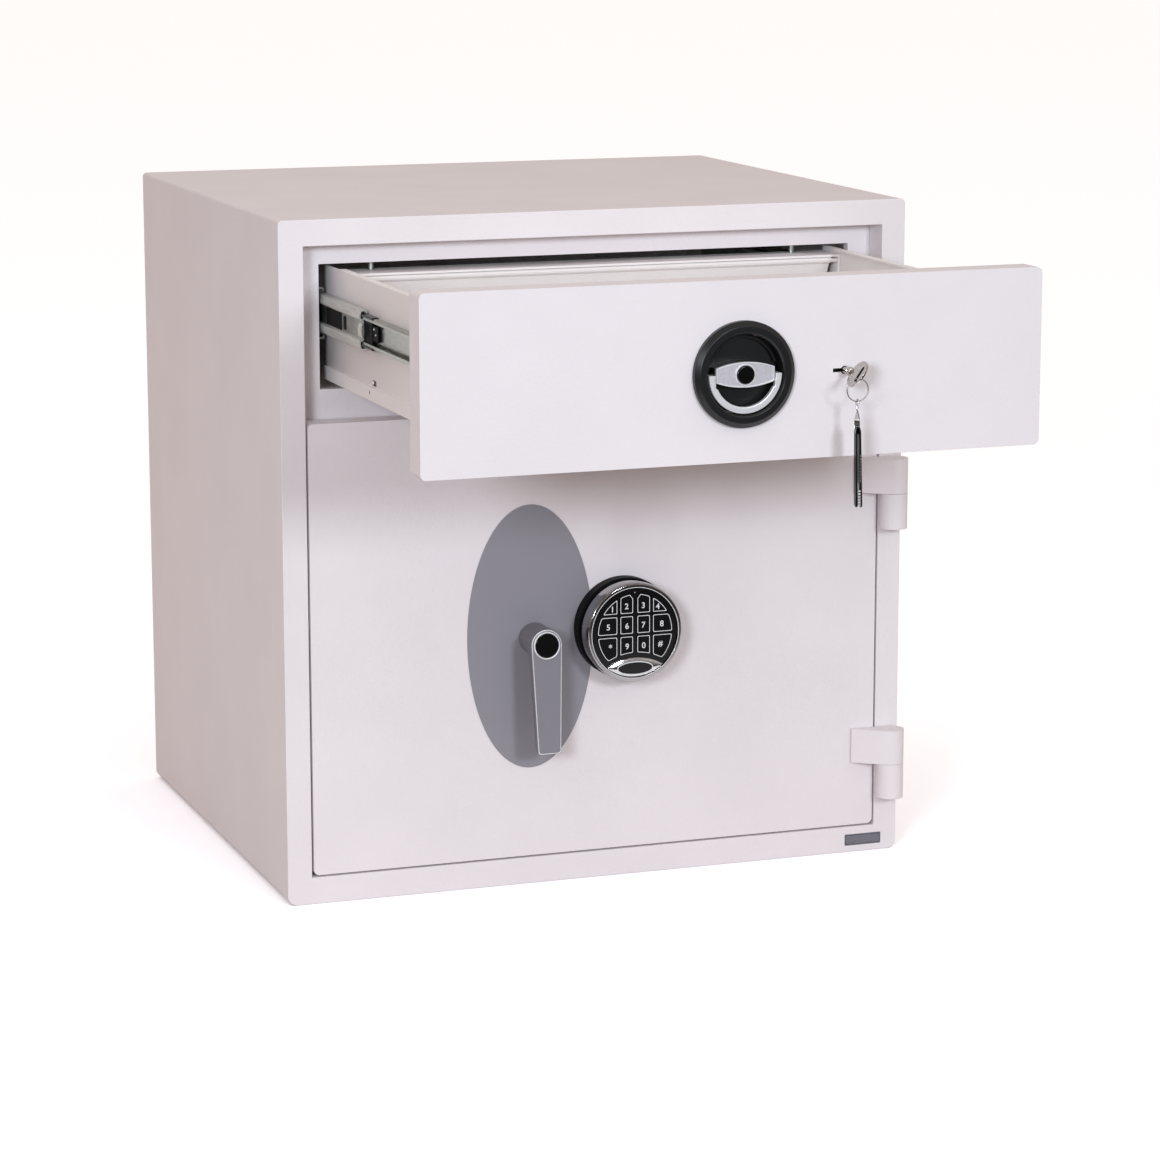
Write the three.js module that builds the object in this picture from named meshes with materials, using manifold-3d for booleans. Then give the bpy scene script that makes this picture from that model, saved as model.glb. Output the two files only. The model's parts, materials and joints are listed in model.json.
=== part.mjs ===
// Drop safe with a deposit drawer: a steel safe with a drawer above a door.
// Lengths are millimetres. X runs right, Y runs back, Z runs up, seen from the front.
// The origin is the centre of the base. The drawer stands open, as it is when money goes in.

import * as THREE from 'three';
import { mergeVertices } from 'three/addons/utils/BufferGeometryUtils.js';
import Module from 'manifold-3d';

const wasm = await Module();
wasm.setup();

// Sizes of the whole cabinet
const cabinetWidth = 590;
const cabinetDepth = 500;
const cabinetHeight = 610;
const casingSheet = 3;
const casingBottomRadius = 9;
const casingTopRadius = 4;
const borderSide = 22.5;
const borderTop = 23;
const borderBottom = 24.5;
const rebateDepth = 28;
const wallThickness = 27;
const linerSheet = 3;

// Clearances shared by many pieces
const fitGap = 0.3;
const overrun = 2;

// Front frame behind the rebate, with the openings for drawer and door
const frameThickness = 10;
const lipSide = 44;
const lipTop = 42;
const lipBottom = 49;
const drawerOpeningHeight = 110;
const crossbarHeight = 48;

// Leaves that close the openings
const leafThickness = 26;
const leafSheet = 3;
const leafCornerRadius = 5;
const leafSideGap = 1.8;
const leafReturn = 32;
const drawerFrontTopGap = 3.5;
const drawerFrontHeight = 149;
const doorDrawerGap = 2.5;

// Drawer travel: how far it and the middle slide members stand out in the rest state
const drawerTravel = 327;
const middleTravel = 117;

// Floor of the drawer bay and its baffle
const bayFloorSheet = 3;
const bayFloorDrop = 5;
const dropSlotDepth = 88;
const baffleHeight = 60;
const bayFlangeHeight = 18;

// Ball slides
const slideLength = 350;
const slideGauge = 1.4;
const slideDepth = 12.7;
const slideCentreBelowOpening = 44;
const cabinetMemberHeight = 45.5;
const middleMemberHeight = 34.5;
const drawerMemberHeight = 26.5;
const slideSkinGap = 1.1;
const memberFlangeWidth = 7.4;
const ballRunLength = 60;
const ballRunWidth = 4.5;
const standoffLength = 34;
const standoffHeight = 26;
const standoffCount = 3;

// Drawer tray
const traySheet = 1.5;
const trayBottomClearance = 6;
const trayHeight = 101;
const trayLengthBehindLeaf = 354.7;
const trayFoldHeight = 12;
const trayFoldDepth = 2.2;
const trayHemWidth = 6;
const rampRise = 38;
const catchGap = 2;
const catchThickness = 8;

// Cross member at the rear of the tray, with its stop pins
const headerSheet = 2;
const headerDepth = 39;
const headerBelowTrayTop = 5;
const headerTabHeight = 17;
const stopPinRadius = 2.5;
const stopPinRise = 16;
const stopPinInset = 36.5;

// Tilting flap that hangs under the cross member
const flapSheet = 1.5;
const flapEndGap = 8;
const flapLength = 86;
const flapTubeRadius = 3;
const flapRodRadius = 2;
const flapLean = 27;

// Drawer handle: bezel, turning dish, bridge plate and bail
const handleX = 3;
const handleBelowMiddle = 2;
const bezelRadius = 43.7;
const bezelFrontRadius = 41;
const bezelBoreRadius = 33;
const bezelSleeveRadius = 35.6;
const bezelProud = 8;
const bezelChamfer = 3;
const bezelSleeveLength = 10;
const dishRadius = 32.6;
const dishFloorSet = 6;
const dishFloorThickness = 4;
const dishStepRadius = 29;
const dishStepHeight = 3.5;
const dishStepAbove = 10;
const dishShaftRadius = 7;
const plinthHalfWidth = 25.4;
const plinthMiddleHalfHeight = 10.4;
const plinthEndHalfHeight = 5.9;
const plinthTop = 8.4;
const bossRadius = 7.8;
const bridgeThickness = 4;
const bridgeHoleRadius = 8.1;
const bridgeBorder = 1.7;
const bridgeSunk = 0.9;
const bailOuterRadius = 31.8;
const bailBarWidth = 5.5;
const bailThickness = 4.2;
const bailPivotY = 1.5;
const bailPinRadius = 1.8;
const bailPinLength = 3;
const bailLugHalfHeight = 2.8;
const bailClearHeight = 10;
const latchArmWidth = 16;
const latchHubRadius = 12;
const armOverlap = 10;
const crankPinRadius = 3;
const crankSlotPlay = 1;

// Drawer lock and its key
const keyX = 93;
const keyBelowMiddle = 3.2;
const keyholeRadius = 3.5;
const keyholeSlotLength = 10.4;
const keyholeSlotHeight = 3.3;
const lockCaseWidth = 40;
const lockCaseHeight = 72;
const lockCavityRadius = 11.5;
const lockCavityBack = 8;
const lockArmWidth = 14;
const lockArmRest = 10;
const lockPlugRadius = 10.5;
const lockSpindleRadius = 5;
const keyShankRadius = 2.8;
const keyCollarRadius = 4;
const keyCollarLength = 3;
const keyInnerLength = 26;
const keyBitReach = 9;
const keyBitLength = 12;
const keyBowRadius = 12;
const keyBowThickness = 1.8;
const keyBowSet = 26;
const keyBowTurn = 35;
const keySlotSet = 5;
const keySlotHalfLength = 6.5;
const keySlotHalfWidth = 1.3;
const ringHangShift = 3.5;
const ringRadius = 9.3;
const ringWireRadius = 0.6;
const hookLoopRadius = 2.6;
const hookWireRadius = 0.7;
const hookLength = 21;
const hookPlateWidth = 5;
const hookPlateThickness = 1.2;
const hookPlateTwist = -18;
const strapWidth = 15;
const strapLeafThickness = 1.9;
const strapLeafGap = 0.5;
const strapLength = 66;

// Door hinges
const knuckleRadius = 12.5;
const hingePinRadius = 5;
const hingePinLength = 22;
const hingePinPlay = 0.35;
const strapHeight = 32;
const lugHeight = 33;
const hingeStrapOnLeaf = 23.2;
const hingeStrapEdge = 3;
const lowerStrapAboveDoorFoot = 60.7;
const upperStrapBelowDoorTop = 90;
const lugInset = 0.5;

// Door back, boltwork housing and bolts
const backPlateThickness = 5;
const backPlateGap = 5;
const boltworkWall = 3;
const boltworkMargin = 4;
const boltworkDepth = 66.4;
const boltworkCoverSheet = 2;
const dogReach = 26;
const dogThickness = 6;
const dogBehindFrame = 8;
const dogEndMargin = 22;
const boltRadius = 8;
const boltTravel = 22;
const boltProud = 6;
const boltPlay = 0.4;
const boltBehindFrame = 9;
const boltEndMargin = 42;
const boltCount = 3;
const boltBarWidth = 12;
const boltBarThickness = 8;
const boltBarClear = 25;
const boltBarOverhang = 12;
const bridleThickness = 4;
const bridleWidth = 30;
const bridleAbovePivot = 2;
const bridleToLock = 2;

// Door lever and its spindle
const leverX = -64;
const leverBelowDoorMiddle = 1.15;
const leverHubRadius = 14.5;
const leverHubHeight = 36;
const leverArmThickness = 9;
const leverReach = 98;
const leverTipWidth = 21.7;
const leverTipRadius = 2.5;
const leverLean = 4.7;
const capRadius = 11;
const capDepth = 2;
const spindleRadius = 6;
const spindleInHub = 24;
const spindlePlay = 0.4;
const camThickness = 4.5;
const camDiscRadius = 12;
const camEndRadius = 5.5;
const crankGap = 2;

// Badge plate and keypad on the door
const ovalX = -67;
const ovalAboveLever = 1;
const ovalWidth = 119;
const ovalHeight = 241;
const ovalThickness = 0.5;
const keypadX = 20;
const keypadAboveLever = 5.5;
const keypadRadius = 46;
const keypadHeight = 37;
const keypadBaseThickness = 13;
const keypadFaceRadius = 40.5;
const keypadFaceSet = 2;
const keypadFaceThickness = 9;
const keypadRimRadius = 44;
const keypadRimRound = 4;
const keypadWaist = 1.2;
const keyFieldRadius = 35.8;
const keyWidth = 12.8;
const keyHeight = 16.7;
const keyColumnGap = 2.2;
const keyMiddleGap = 3.4;
const keyRowGap = 1.8;
const keyFieldLift = 7.45;
const keyProud = 1.2;
const keyDepth = 5;
const keyPlay = 0.35;
const keyTravel = 1;
const keyNotchRadius = 4;
const badgeHalfWidth = 17;
const badgeHalfHeight = 6;
const badgeFootGap = 2.1;
const badgeProud = 1;
const badgeClearRadius = 52.5;
const badgeClearDrop = 71;

// Electronic lock behind the keypad
const lockBodyWidth = 86;
const lockBodyHeight = 60;
const lockBodyDepth = 35;
const lockBodyLeftX = -20;
const cableHoleRadius = 5;
const swingBoltLength = 27;
const swingBoltWidth = 10;
const swingBoltThickness = 6;
const swingBoltInset = 6;
const swingBoltBelowCentre = 7;
const swingBoltPlay = 0.5;
const pocketRise = 30;

// Counts of flat sides that stand in for round shapes
const largeRoundSides = 64;
const roundSides = 40;
const smallRoundSides = 24;
const wireSides = 8;
const cornerSides = 5;

// Places worked out from the sizes
const halfWidth = cabinetWidth / 2;
const frontY = -cabinetDepth / 2;
const backY = cabinetDepth / 2;
const rebateSpanX = [borderSide - halfWidth, halfWidth - borderSide];
const rebateSpanZ = [borderBottom, cabinetHeight - borderTop];
const frameFaceY = frontY + rebateDepth;
const frameBackY = frameFaceY + frameThickness;
const openingSpanX = [lipSide - halfWidth, halfWidth - lipSide];
const drawerOpeningTop = cabinetHeight - lipTop;
const drawerOpeningBottom = drawerOpeningTop - drawerOpeningHeight;
const doorOpeningTop = drawerOpeningBottom - crossbarHeight;
const linerSpanX = [wallThickness - halfWidth, halfWidth - wallThickness];
const linerSpanZ = [wallThickness, cabinetHeight - wallThickness];
const linerBackY = backY - wallThickness;
const leafSpanX = [rebateSpanX[0] + leafSideGap, rebateSpanX[1] - leafSideGap];
const leafBackY = frontY + leafThickness;
const drawerFrontTop = rebateSpanZ[1] - drawerFrontTopGap;
const drawerFrontBottom = drawerFrontTop - drawerFrontHeight;
const doorTop = drawerFrontBottom - doorDrawerGap;
const doorBottom = rebateSpanZ[0] + leafSideGap;
const slideZ = drawerOpeningTop - slideCentreBelowOpening;
const trayBottom = drawerOpeningBottom + trayBottomClearance;
const trayTop = trayBottom + trayHeight;
const trayHalfWidth = openingSpanX[1] - slideDepth;
const trayRearY = leafBackY + trayLengthBehindLeaf;
const catchFrontY = frameBackY + catchGap;
const catchBackY = catchFrontY + catchThickness;
const hingeAxisX = halfWidth - knuckleRadius;
const hingeAxisY = frontY - fitGap - knuckleRadius;
const hingeStrapLeftX = leafSpanX[1] - hingeStrapOnLeaf;
const lowerStrapZ = doorBottom + lowerStrapAboveDoorFoot;
const upperStrapZ = doorTop - upperStrapBelowDoorTop;
const drawerMiddleZ = (drawerFrontBottom + drawerFrontTop) / 2;
const handleZ = drawerMiddleZ - handleBelowMiddle;
const keyZ = drawerMiddleZ - keyBelowMiddle;
const leverZ = (doorBottom + doorTop) / 2 - leverBelowDoorMiddle;
const ovalZ = leverZ + ovalAboveLever;
const keypadZ = leverZ + keypadAboveLever;

// Small helpers for spans, which are pairs of a low and a high value
const degrees = Math.PI / 180;
const middle = (span) => (span[0] + span[1]) / 2;
const lengthOf = (span) => span[1] - span[0];
const grown = (span, by) => [span[0] - by, span[1] + by];
const around = (centre, size) => [centre - size / 2, centre + size / 2];
const spanOf = (a, b) => [Math.min(a, b), Math.max(a, b)];
const sided = (side, inner, outer) => spanOf(side * inner, side * outer);

// A closed solid from a three.js geometry, with its faces pointing out
function solid(geometry) {
  geometry.deleteAttribute('normal');
  geometry.deleteAttribute('uv');
  const merged = mergeVertices(geometry);
  const places = merged.attributes.position.array;
  const corner = (index) => new THREE.Vector3().fromArray(places, index * 3);
  const faces = [];
  let volume = 0;
  const index = merged.index.array;
  for (let i = 0; i < index.length; i += 3) {
    const [a, b, c] = [index[i], index[i + 1], index[i + 2]];
    if (a === b || b === c || c === a) continue;
    faces.push([a, b, c]);
    volume += corner(a).dot(corner(b).cross(corner(c)));
  }
  const outward = volume > 0 ? faces : faces.map(([a, b, c]) => [a, c, b]);
  return new wasm.Manifold(new wasm.Mesh({
    numProp: 3,
    vertProperties: new Float32Array(places),
    triVerts: new Uint32Array(outward.flat()),
  }));
}

const join = (first, ...others) => others.reduce((sum, item) => sum.add(item), first);
const cut = (first, ...others) => others.reduce((rest, item) => rest.subtract(item), first);

function block(x, y, z) {
  const geometry = new THREE.BoxGeometry(lengthOf(x), lengthOf(y), lengthOf(z));
  return solid(geometry.translate(middle(x), middle(y), middle(z)));
}

function rodX(radius, x, y, z, sides = smallRoundSides) {
  const geometry = new THREE.CylinderGeometry(radius, radius, lengthOf(x), sides);
  return solid(geometry.rotateZ(Math.PI / 2).translate(middle(x), y, z));
}

function rodY(radius, y, x, z, sides = smallRoundSides) {
  const geometry = new THREE.CylinderGeometry(radius, radius, lengthOf(y), sides);
  return solid(geometry.translate(x, middle(y), z));
}

function rodZ(radius, z, x, y, sides = smallRoundSides) {
  const geometry = new THREE.CylinderGeometry(radius, radius, lengthOf(z), sides);
  return solid(geometry.rotateX(Math.PI / 2).translate(x, y, middle(z)));
}

// A profile of [radius, y] points turned about the Y axis through (x, z)
function turnedY(profile, x, z, sides = largeRoundSides) {
  const points = profile.map(([radius, y]) => new THREE.Vector2(radius, y));
  points.push(points[0].clone());
  return solid(new THREE.LatheGeometry(points, sides).translate(x, 0, z));
}

// Plates cut from an outline and given a thickness along Y, X or Z
function plateY(shape, y, steps = cornerSides) {
  const options = { depth: lengthOf(y), bevelEnabled: false, curveSegments: steps };
  return solid(new THREE.ExtrudeGeometry(shape, options).rotateX(Math.PI / 2).translate(0, y[1], 0));
}

function plateX(shape, x, steps = cornerSides) {
  const options = { depth: lengthOf(x), bevelEnabled: false, curveSegments: steps };
  const turn = new THREE.Matrix4().makeBasis(
    new THREE.Vector3(0, 1, 0), new THREE.Vector3(0, 0, 1), new THREE.Vector3(1, 0, 0));
  return solid(new THREE.ExtrudeGeometry(shape, options).applyMatrix4(turn).translate(x[0], 0, 0));
}

function plateZ(shape, z, steps = cornerSides) {
  const options = { depth: lengthOf(z), bevelEnabled: false, curveSegments: steps };
  return solid(new THREE.ExtrudeGeometry(shape, options).translate(0, 0, z[0]));
}

const polygon = (points) => new THREE.Shape(points.map(([u, v]) => new THREE.Vector2(u, v)));

// A rectangle with rounded corners, the radius at the foot and at the head set apart
function roundedOutline(u, v, footRadius, headRadius) {
  const shape = new THREE.Shape();
  const quarter = Math.PI / 2;
  shape.moveTo(u[0] + footRadius, v[0]);
  shape.lineTo(u[1] - footRadius, v[0]);
  if (footRadius > 0) shape.absarc(u[1] - footRadius, v[0] + footRadius, footRadius, -quarter, 0);
  shape.lineTo(u[1], v[1] - headRadius);
  if (headRadius > 0) shape.absarc(u[1] - headRadius, v[1] - headRadius, headRadius, 0, quarter);
  shape.lineTo(u[0] + headRadius, v[1]);
  if (headRadius > 0) shape.absarc(u[0] + headRadius, v[1] - headRadius, headRadius, quarter, 2 * quarter);
  shape.lineTo(u[0], v[0] + footRadius);
  if (footRadius > 0) {
    shape.absarc(u[0] + footRadius, v[0] + footRadius, footRadius, 2 * quarter, 3 * quarter);
  }
  return shape;
}

const casingOutline = (inset) => roundedOutline(
  [inset - halfWidth, halfWidth - inset], [inset, cabinetHeight - inset],
  Math.max(casingBottomRadius - inset, 0), Math.max(casingTopRadius - inset, 0));

// Finishes
const finish = (color, roughness, metalness) => new THREE.MeshStandardMaterial(
  { color, roughness, metalness });
const finishes = {
  powderCoat: finish(0xe4dee3, 0.55, 0),
  innerPaint: finish(0xd2ccca, 0.6, 0),
  bareZinc: finish(0xa8aba6, 0.35, 0.9),
  chrome: finish(0xd8d8da, 0.1, 1),
  satinSilver: finish(0xb9b9bc, 0.35, 0.8),
  greyLever: finish(0x8f8d92, 0.4, 0.5),
  greyPlate: finish(0x86838a, 0.45, 0.1),
  blackPlastic: finish(0x1b1b1d, 0.4, 0),
  blackRubber: finish(0x141415, 0.6, 0),
  steel: finish(0x9b9a98, 0.4, 0.8),
  concrete: finish(0xa9a49c, 0.9, 0),
  strapBlack: finish(0x17171a, 0.5, 0),
};

// Each sub-part has its own material, so that it can be recoloured by itself
function part(parent, name, body, look) {
  const { vertProperties, triVerts, numProp } = body.getMesh();
  const geometry = new THREE.BufferGeometry();
  const places = new Float32Array(vertProperties.length / numProp * 3);
  for (let i = 0; i < places.length / 3; i += 1) {
    for (let axis = 0; axis < 3; axis += 1) places[3 * i + axis] = vertProperties[numProp * i + axis];
  }
  geometry.setAttribute('position', new THREE.BufferAttribute(places, 3));
  geometry.setIndex(new THREE.BufferAttribute(new Uint32Array(triVerts), 1));
  geometry.computeVertexNormals();
  const mesh = new THREE.Mesh(geometry, finishes[look].clone());
  mesh.name = name;
  parent.add(mesh);
  return mesh;
}

function groupIn(parent, x = 0, y = 0, z = 0) {
  const group = new THREE.Group();
  group.position.set(x, y, z);
  parent.add(group);
  return group;
}

// Cabinet: painted casing, wall filling, liner, frame, bay floor and hinge lugs
function outerCasing() {
  const shell = cut(
    plateY(casingOutline(0), [frontY, backY]),
    plateY(casingOutline(casingSheet), [frontY + casingSheet, backY - casingSheet]),
    block(rebateSpanX, [frontY - overrun, frontY + casingSheet + overrun], rebateSpanZ));
  const sleeve = cut(
    block(grown(rebateSpanX, casingSheet), [frontY, frameFaceY], grown(rebateSpanZ, casingSheet)),
    block(rebateSpanX, [frontY - overrun, frameFaceY + overrun], rebateSpanZ));
  return join(shell, sleeve);
}

function frontFrame() {
  const throughY = grown([frameFaceY, frameBackY], overrun);
  return cut(
    plateY(casingOutline(casingSheet + fitGap), [frameFaceY + fitGap, frameBackY]),
    block(openingSpanX, throughY, [drawerOpeningBottom, drawerOpeningTop]),
    block(openingSpanX, throughY, [lipBottom, doorOpeningTop]));
}

function barrierFill() {
  const reach = linerSheet + fitGap;
  return cut(
    plateY(casingOutline(casingSheet + fitGap), [frameBackY + fitGap, backY - casingSheet - fitGap]),
    block(grown(linerSpanX, reach), [frameBackY - overrun, linerBackY + reach], grown(linerSpanZ, reach)));
}

function innerLiner() {
  return cut(
    block(grown(linerSpanX, linerSheet), [frameBackY + fitGap, linerBackY + linerSheet],
      grown(linerSpanZ, linerSheet)),
    block(linerSpanX, [frameBackY - overrun, linerBackY], linerSpanZ));
}

function drawerBayFloor() {
  const top = drawerOpeningBottom - bayFloorDrop;
  const z = [top - bayFloorSheet, top];
  const x = grown(linerSpanX, -fitGap);
  const y = [frameBackY + fitGap, linerBackY - dropSlotDepth];
  const baffle = block(x, [y[1] - bayFloorSheet, y[1]], [z[0] - baffleHeight, z[1]]);
  const flanges = [-1, 1].map((side) => block(
    sided(side, x[1] - bayFloorSheet, x[1]), y, [z[0], z[1] + bayFlangeHeight]));
  return join(block(x, y, z), baffle, ...flanges);
}

function hingeLug(strapZ) {
  const z = [strapZ - lugHeight - fitGap, strapZ - fitGap];
  const x = [rebateSpanX[1] + lugInset, hingeAxisX + knuckleRadius];
  return join(
    rodZ(knuckleRadius, z, hingeAxisX, hingeAxisY, roundSides),
    block(x, [hingeAxisY, frontY - fitGap], z),
    rodZ(hingePinRadius, [z[1] - overrun, z[1] + hingePinLength], hingeAxisX, hingeAxisY));
}

// Ball slides: three nested channels a side, with the ball runs on the middle one
function channel(side, web, flangeTip, height, y) {
  const z = around(slideZ, height);
  const x = sided(side, ...spanOf(web[0], web[1]));
  const flangeX = sided(side, ...spanOf(flangeTip, middle(web)));
  return join(
    block(x, y, z),
    block(flangeX, y, [z[0], z[0] + slideGauge]),
    block(flangeX, y, [z[1] - slideGauge, z[1]]));
}

const drawerWeb = [trayHalfWidth + fitGap, trayHalfWidth + fitGap + slideGauge];
const cabinetWeb = [openingSpanX[1] - slideGauge, openingSpanX[1]];
const middleWeb = [cabinetWeb[0] - slideSkinGap - slideGauge, cabinetWeb[0] - slideSkinGap];
const cabinetMemberY = [frameBackY + fitGap, frameBackY + fitGap + slideLength];
const drawerMemberY = [leafBackY + fitGap, leafBackY + fitGap + slideLength];

function cabinetSlide(side) {
  const flangeTip = cabinetWeb[1] - memberFlangeWidth;
  const member = channel(side, cabinetWeb, flangeTip, cabinetMemberHeight, cabinetMemberY);
  const pitch = (slideLength - standoffLength) / (standoffCount - 1);
  const standoffs = Array.from({ length: standoffCount }, (_, i) => block(
    sided(side, middle(cabinetWeb), linerSpanX[1] - fitGap),
    [cabinetMemberY[0] + i * pitch, cabinetMemberY[0] + i * pitch + standoffLength],
    around(slideZ, standoffHeight)));
  return join(member, ...standoffs);
}

function middleSlide(side) {
  const y = drawerMemberY;
  const member = channel(side, middleWeb, middleWeb[1] - memberFlangeWidth, middleMemberHeight, y);
  const outerRunX = sided(side, middleWeb[1] - slideGauge - ballRunWidth, middleWeb[1] - slideGauge / 2);
  const innerRunX = sided(side, middleWeb[0] - slideSkinGap - ballRunWidth, middleWeb[0] - slideSkinGap);
  const outerRunY = [y[1] - 2 * ballRunLength, y[1] - ballRunLength];
  const innerRunY = [y[0] + slideGauge, y[0] + ballRunLength];
  const runs = [-1, 1].flatMap((way) => {
    const flange = middleMemberHeight / 2 - slideGauge / 2;
    const outside = cabinetMemberHeight / 2 - slideGauge - fitGap;
    const inside = drawerMemberHeight / 2 + fitGap;
    const at = (a, b) => spanOf(slideZ + way * a, slideZ + way * b);
    return [
      block(outerRunX, outerRunY, at(flange, outside)),
      block(innerRunX, innerRunY, at(flange, inside)),
    ];
  });
  return join(member, ...runs);
}

const drawerSlide = (side) => channel(
  side, drawerWeb, drawerWeb[0] + memberFlangeWidth, drawerMemberHeight, drawerMemberY);

// A folded steel leaf: a pan with its edges returned behind, open in the middle at the back
function foldedLeaf(z) {
  const outline = (inset) => roundedOutline(
    grown(leafSpanX, -inset), grown(z, -inset),
    Math.max(leafCornerRadius - inset, 0), Math.max(leafCornerRadius - inset, 0));
  return cut(
    plateY(outline(0), [frontY, leafBackY]),
    plateY(outline(leafSheet), [frontY + leafSheet, leafBackY - leafSheet]),
    block(grown(leafSpanX, -leafReturn), [leafBackY - 2 * leafSheet, leafBackY + overrun],
      grown(z, -leafReturn)));
}

// Drawer front, tray, cross member and flap, all placed as if the drawer were shut
function drawerFront() {
  const through = [frontY - overrun, frontY + leafSheet + overrun];
  return cut(
    foldedLeaf([drawerFrontBottom, drawerFrontTop]),
    rodY(bezelSleeveRadius + fitGap, through, handleX, handleZ, largeRoundSides),
    rodY(keyholeRadius, through, keyX, keyZ),
    block([keyX - keyholeSlotLength, keyX], through, around(keyZ, keyholeSlotHeight)));
}

function drawerTray() {
  const y = [leafBackY + fitGap, trayRearY];
  const innerHalf = trayHalfWidth - traySheet;
  const innerX = [-innerHalf - traySheet / 2, innerHalf + traySheet / 2];
  const wallY = [catchBackY + fitGap, catchBackY + fitGap + traySheet];
  const sides = [-1, 1].flatMap((side) => [
    block(sided(side, innerHalf, trayHalfWidth), y, [trayBottom, trayTop]),
    block(sided(side, innerHalf, trayHalfWidth + trayFoldDepth), y,
      [trayBottom, trayBottom + trayFoldHeight]),
    block(sided(side, innerHalf - trayHemWidth, trayHalfWidth), [wallY[0], trayRearY - headerDepth - overrun],
      [trayTop - traySheet, trayTop]),
  ]);
  const frontWall = block(innerX, wallY, [trayBottom, trayTop - fitGap]);
  const rearFloorY = trayRearY - 2 * trayFoldDepth;
  const ramp = plateX(polygon([
    [wallY[0], trayBottom + rampRise], [rearFloorY, trayBottom],
    [rearFloorY, trayBottom + traySheet], [wallY[0], trayBottom + rampRise + traySheet],
  ]), innerX);
  return join(sides[0], ...sides.slice(1), frontWall, ramp);
}

const headerTop = trayTop - headerBelowTrayTop;
const headerRearY = trayRearY - headerSheet;
const headerFrontY = headerRearY - headerDepth;
const headerHalf = trayHalfWidth - traySheet - fitGap;
const flapAxisY = headerFrontY + flapTubeRadius;
const flapAxisZ = headerTop - headerSheet - flapTubeRadius - fitGap;

function rearHeader() {
  const y = [headerFrontY, headerRearY];
  const pinY = frameBackY + fitGap + stopPinRadius + drawerTravel;
  const pinZ = [headerTop - headerSheet / 2, headerTop + stopPinRise];
  const pins = [-1, 1].map((side) => rodZ(stopPinRadius, pinZ, side * (headerHalf - stopPinInset), pinY));
  const tabs = [-1, 1].map((side) => block(
    sided(side, headerHalf - headerSheet, headerHalf), y, [headerTop - headerTabHeight, headerTop]));
  const plate = block([-headerHalf, headerHalf], y, [headerTop - headerSheet, headerTop]);
  const rodBore = rodX(flapRodRadius + fitGap, [-halfWidth, halfWidth], flapAxisY, flapAxisZ);
  return cut(join(plate, ...pins, ...tabs), rodBore);
}

// The flap is drawn hanging plumb from its own axis, and its group leans it back
function rearFlap() {
  const half = headerHalf - flapEndGap;
  return join(
    rodX(flapTubeRadius, [-half, half], 0, 0),
    rodX(flapRodRadius, [-headerHalf, headerHalf], 0, 0),
    block([-half, half], [flapTubeRadius - flapSheet, flapTubeRadius], [-flapLength, 0]),
    block([-half, half], [flapTubeRadius - flapSheet, flapTubeRadius + trayFoldHeight / 2],
      [-flapLength, flapSheet - flapLength]));
}

// Drawer handle, drawn about its own centre on the face of the drawer front
function handleBezel() {
  const profile = [
    [bezelBoreRadius, bezelSleeveLength], [bezelSleeveRadius, bezelSleeveLength],
    [bezelSleeveRadius, -fitGap], [bezelRadius, -fitGap],
    [bezelRadius, bezelChamfer - bezelProud], [bezelFrontRadius, -bezelProud],
    [bezelBoreRadius + bezelChamfer / 2, -bezelProud], [bezelBoreRadius, bezelChamfer / 2 - bezelProud],
  ];
  return turnedY(profile, 0, 0);
}

// The eye outline is two shallow arcs that meet short upright ends
function eyeOutline(inset) {
  const half = plinthHalfWidth - inset;
  const tall = plinthMiddleHalfHeight - inset;
  const end = plinthEndHalfHeight - inset * plinthEndHalfHeight / plinthMiddleHalfHeight;
  const shape = new THREE.Shape();
  const rise = tall - end;
  const radius = (half * half + rise * rise) / (2 * rise);
  const swing = Math.asin(half / radius);
  const quarter = Math.PI / 2;
  shape.absarc(0, tall - radius, radius, quarter - swing, quarter + swing);
  shape.absarc(0, radius - tall, radius, -quarter - swing, -quarter + swing);
  return shape;
}

function handleDish() {
  const floorY = dishFloorSet;
  const floor = rodY(dishRadius, [floorY, floorY + dishFloorThickness], 0, 0, largeRoundSides);
  const step = cut(
    rodY(dishRadius, [floorY - dishStepHeight, floorY + overrun], 0, 0, largeRoundSides),
    rodY(dishStepRadius, [floorY - 2 * dishStepHeight, floorY + 2 * overrun], 0, 0, largeRoundSides),
    block(grown([-dishRadius, dishRadius], overrun), grown([floorY - dishStepHeight, floorY], 2 * overrun),
      [-dishRadius - overrun, dishStepAbove]));
  const plinth = plateY(eyeOutline(0), [floorY - plinthTop, floorY + overrun]);
  const boss = rodY(bossRadius, [-bezelProud, floorY], 0, 0, roundSides);
  const shaft = rodY(dishShaftRadius, [floorY, catchBackY - frontY], 0, 0);
  const pinHoles = [-1, 1].map((side) => rodX(
    bailPinRadius + fitGap, sided(side, plinthHalfWidth - bailPinLength - fitGap, halfWidth), bailPivotY, 0));
  return cut(join(floor, step, plinth, boss, shaft), ...pinHoles);
}

function handleBridge() {
  const back = dishFloorSet - plinthTop - fitGap;
  const y = [back - bridgeThickness, back];
  return cut(
    plateY(eyeOutline(0), y),
    cut(plateY(eyeOutline(bridgeBorder), [y[0] - overrun, y[0] + bridgeSunk]),
      rodY(bridgeHoleRadius + bridgeBorder, [y[0] - 2 * overrun, y[1]], 0, 0, roundSides)),
    rodY(bridgeHoleRadius, grown(y, overrun), 0, 0, roundSides));
}

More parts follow.
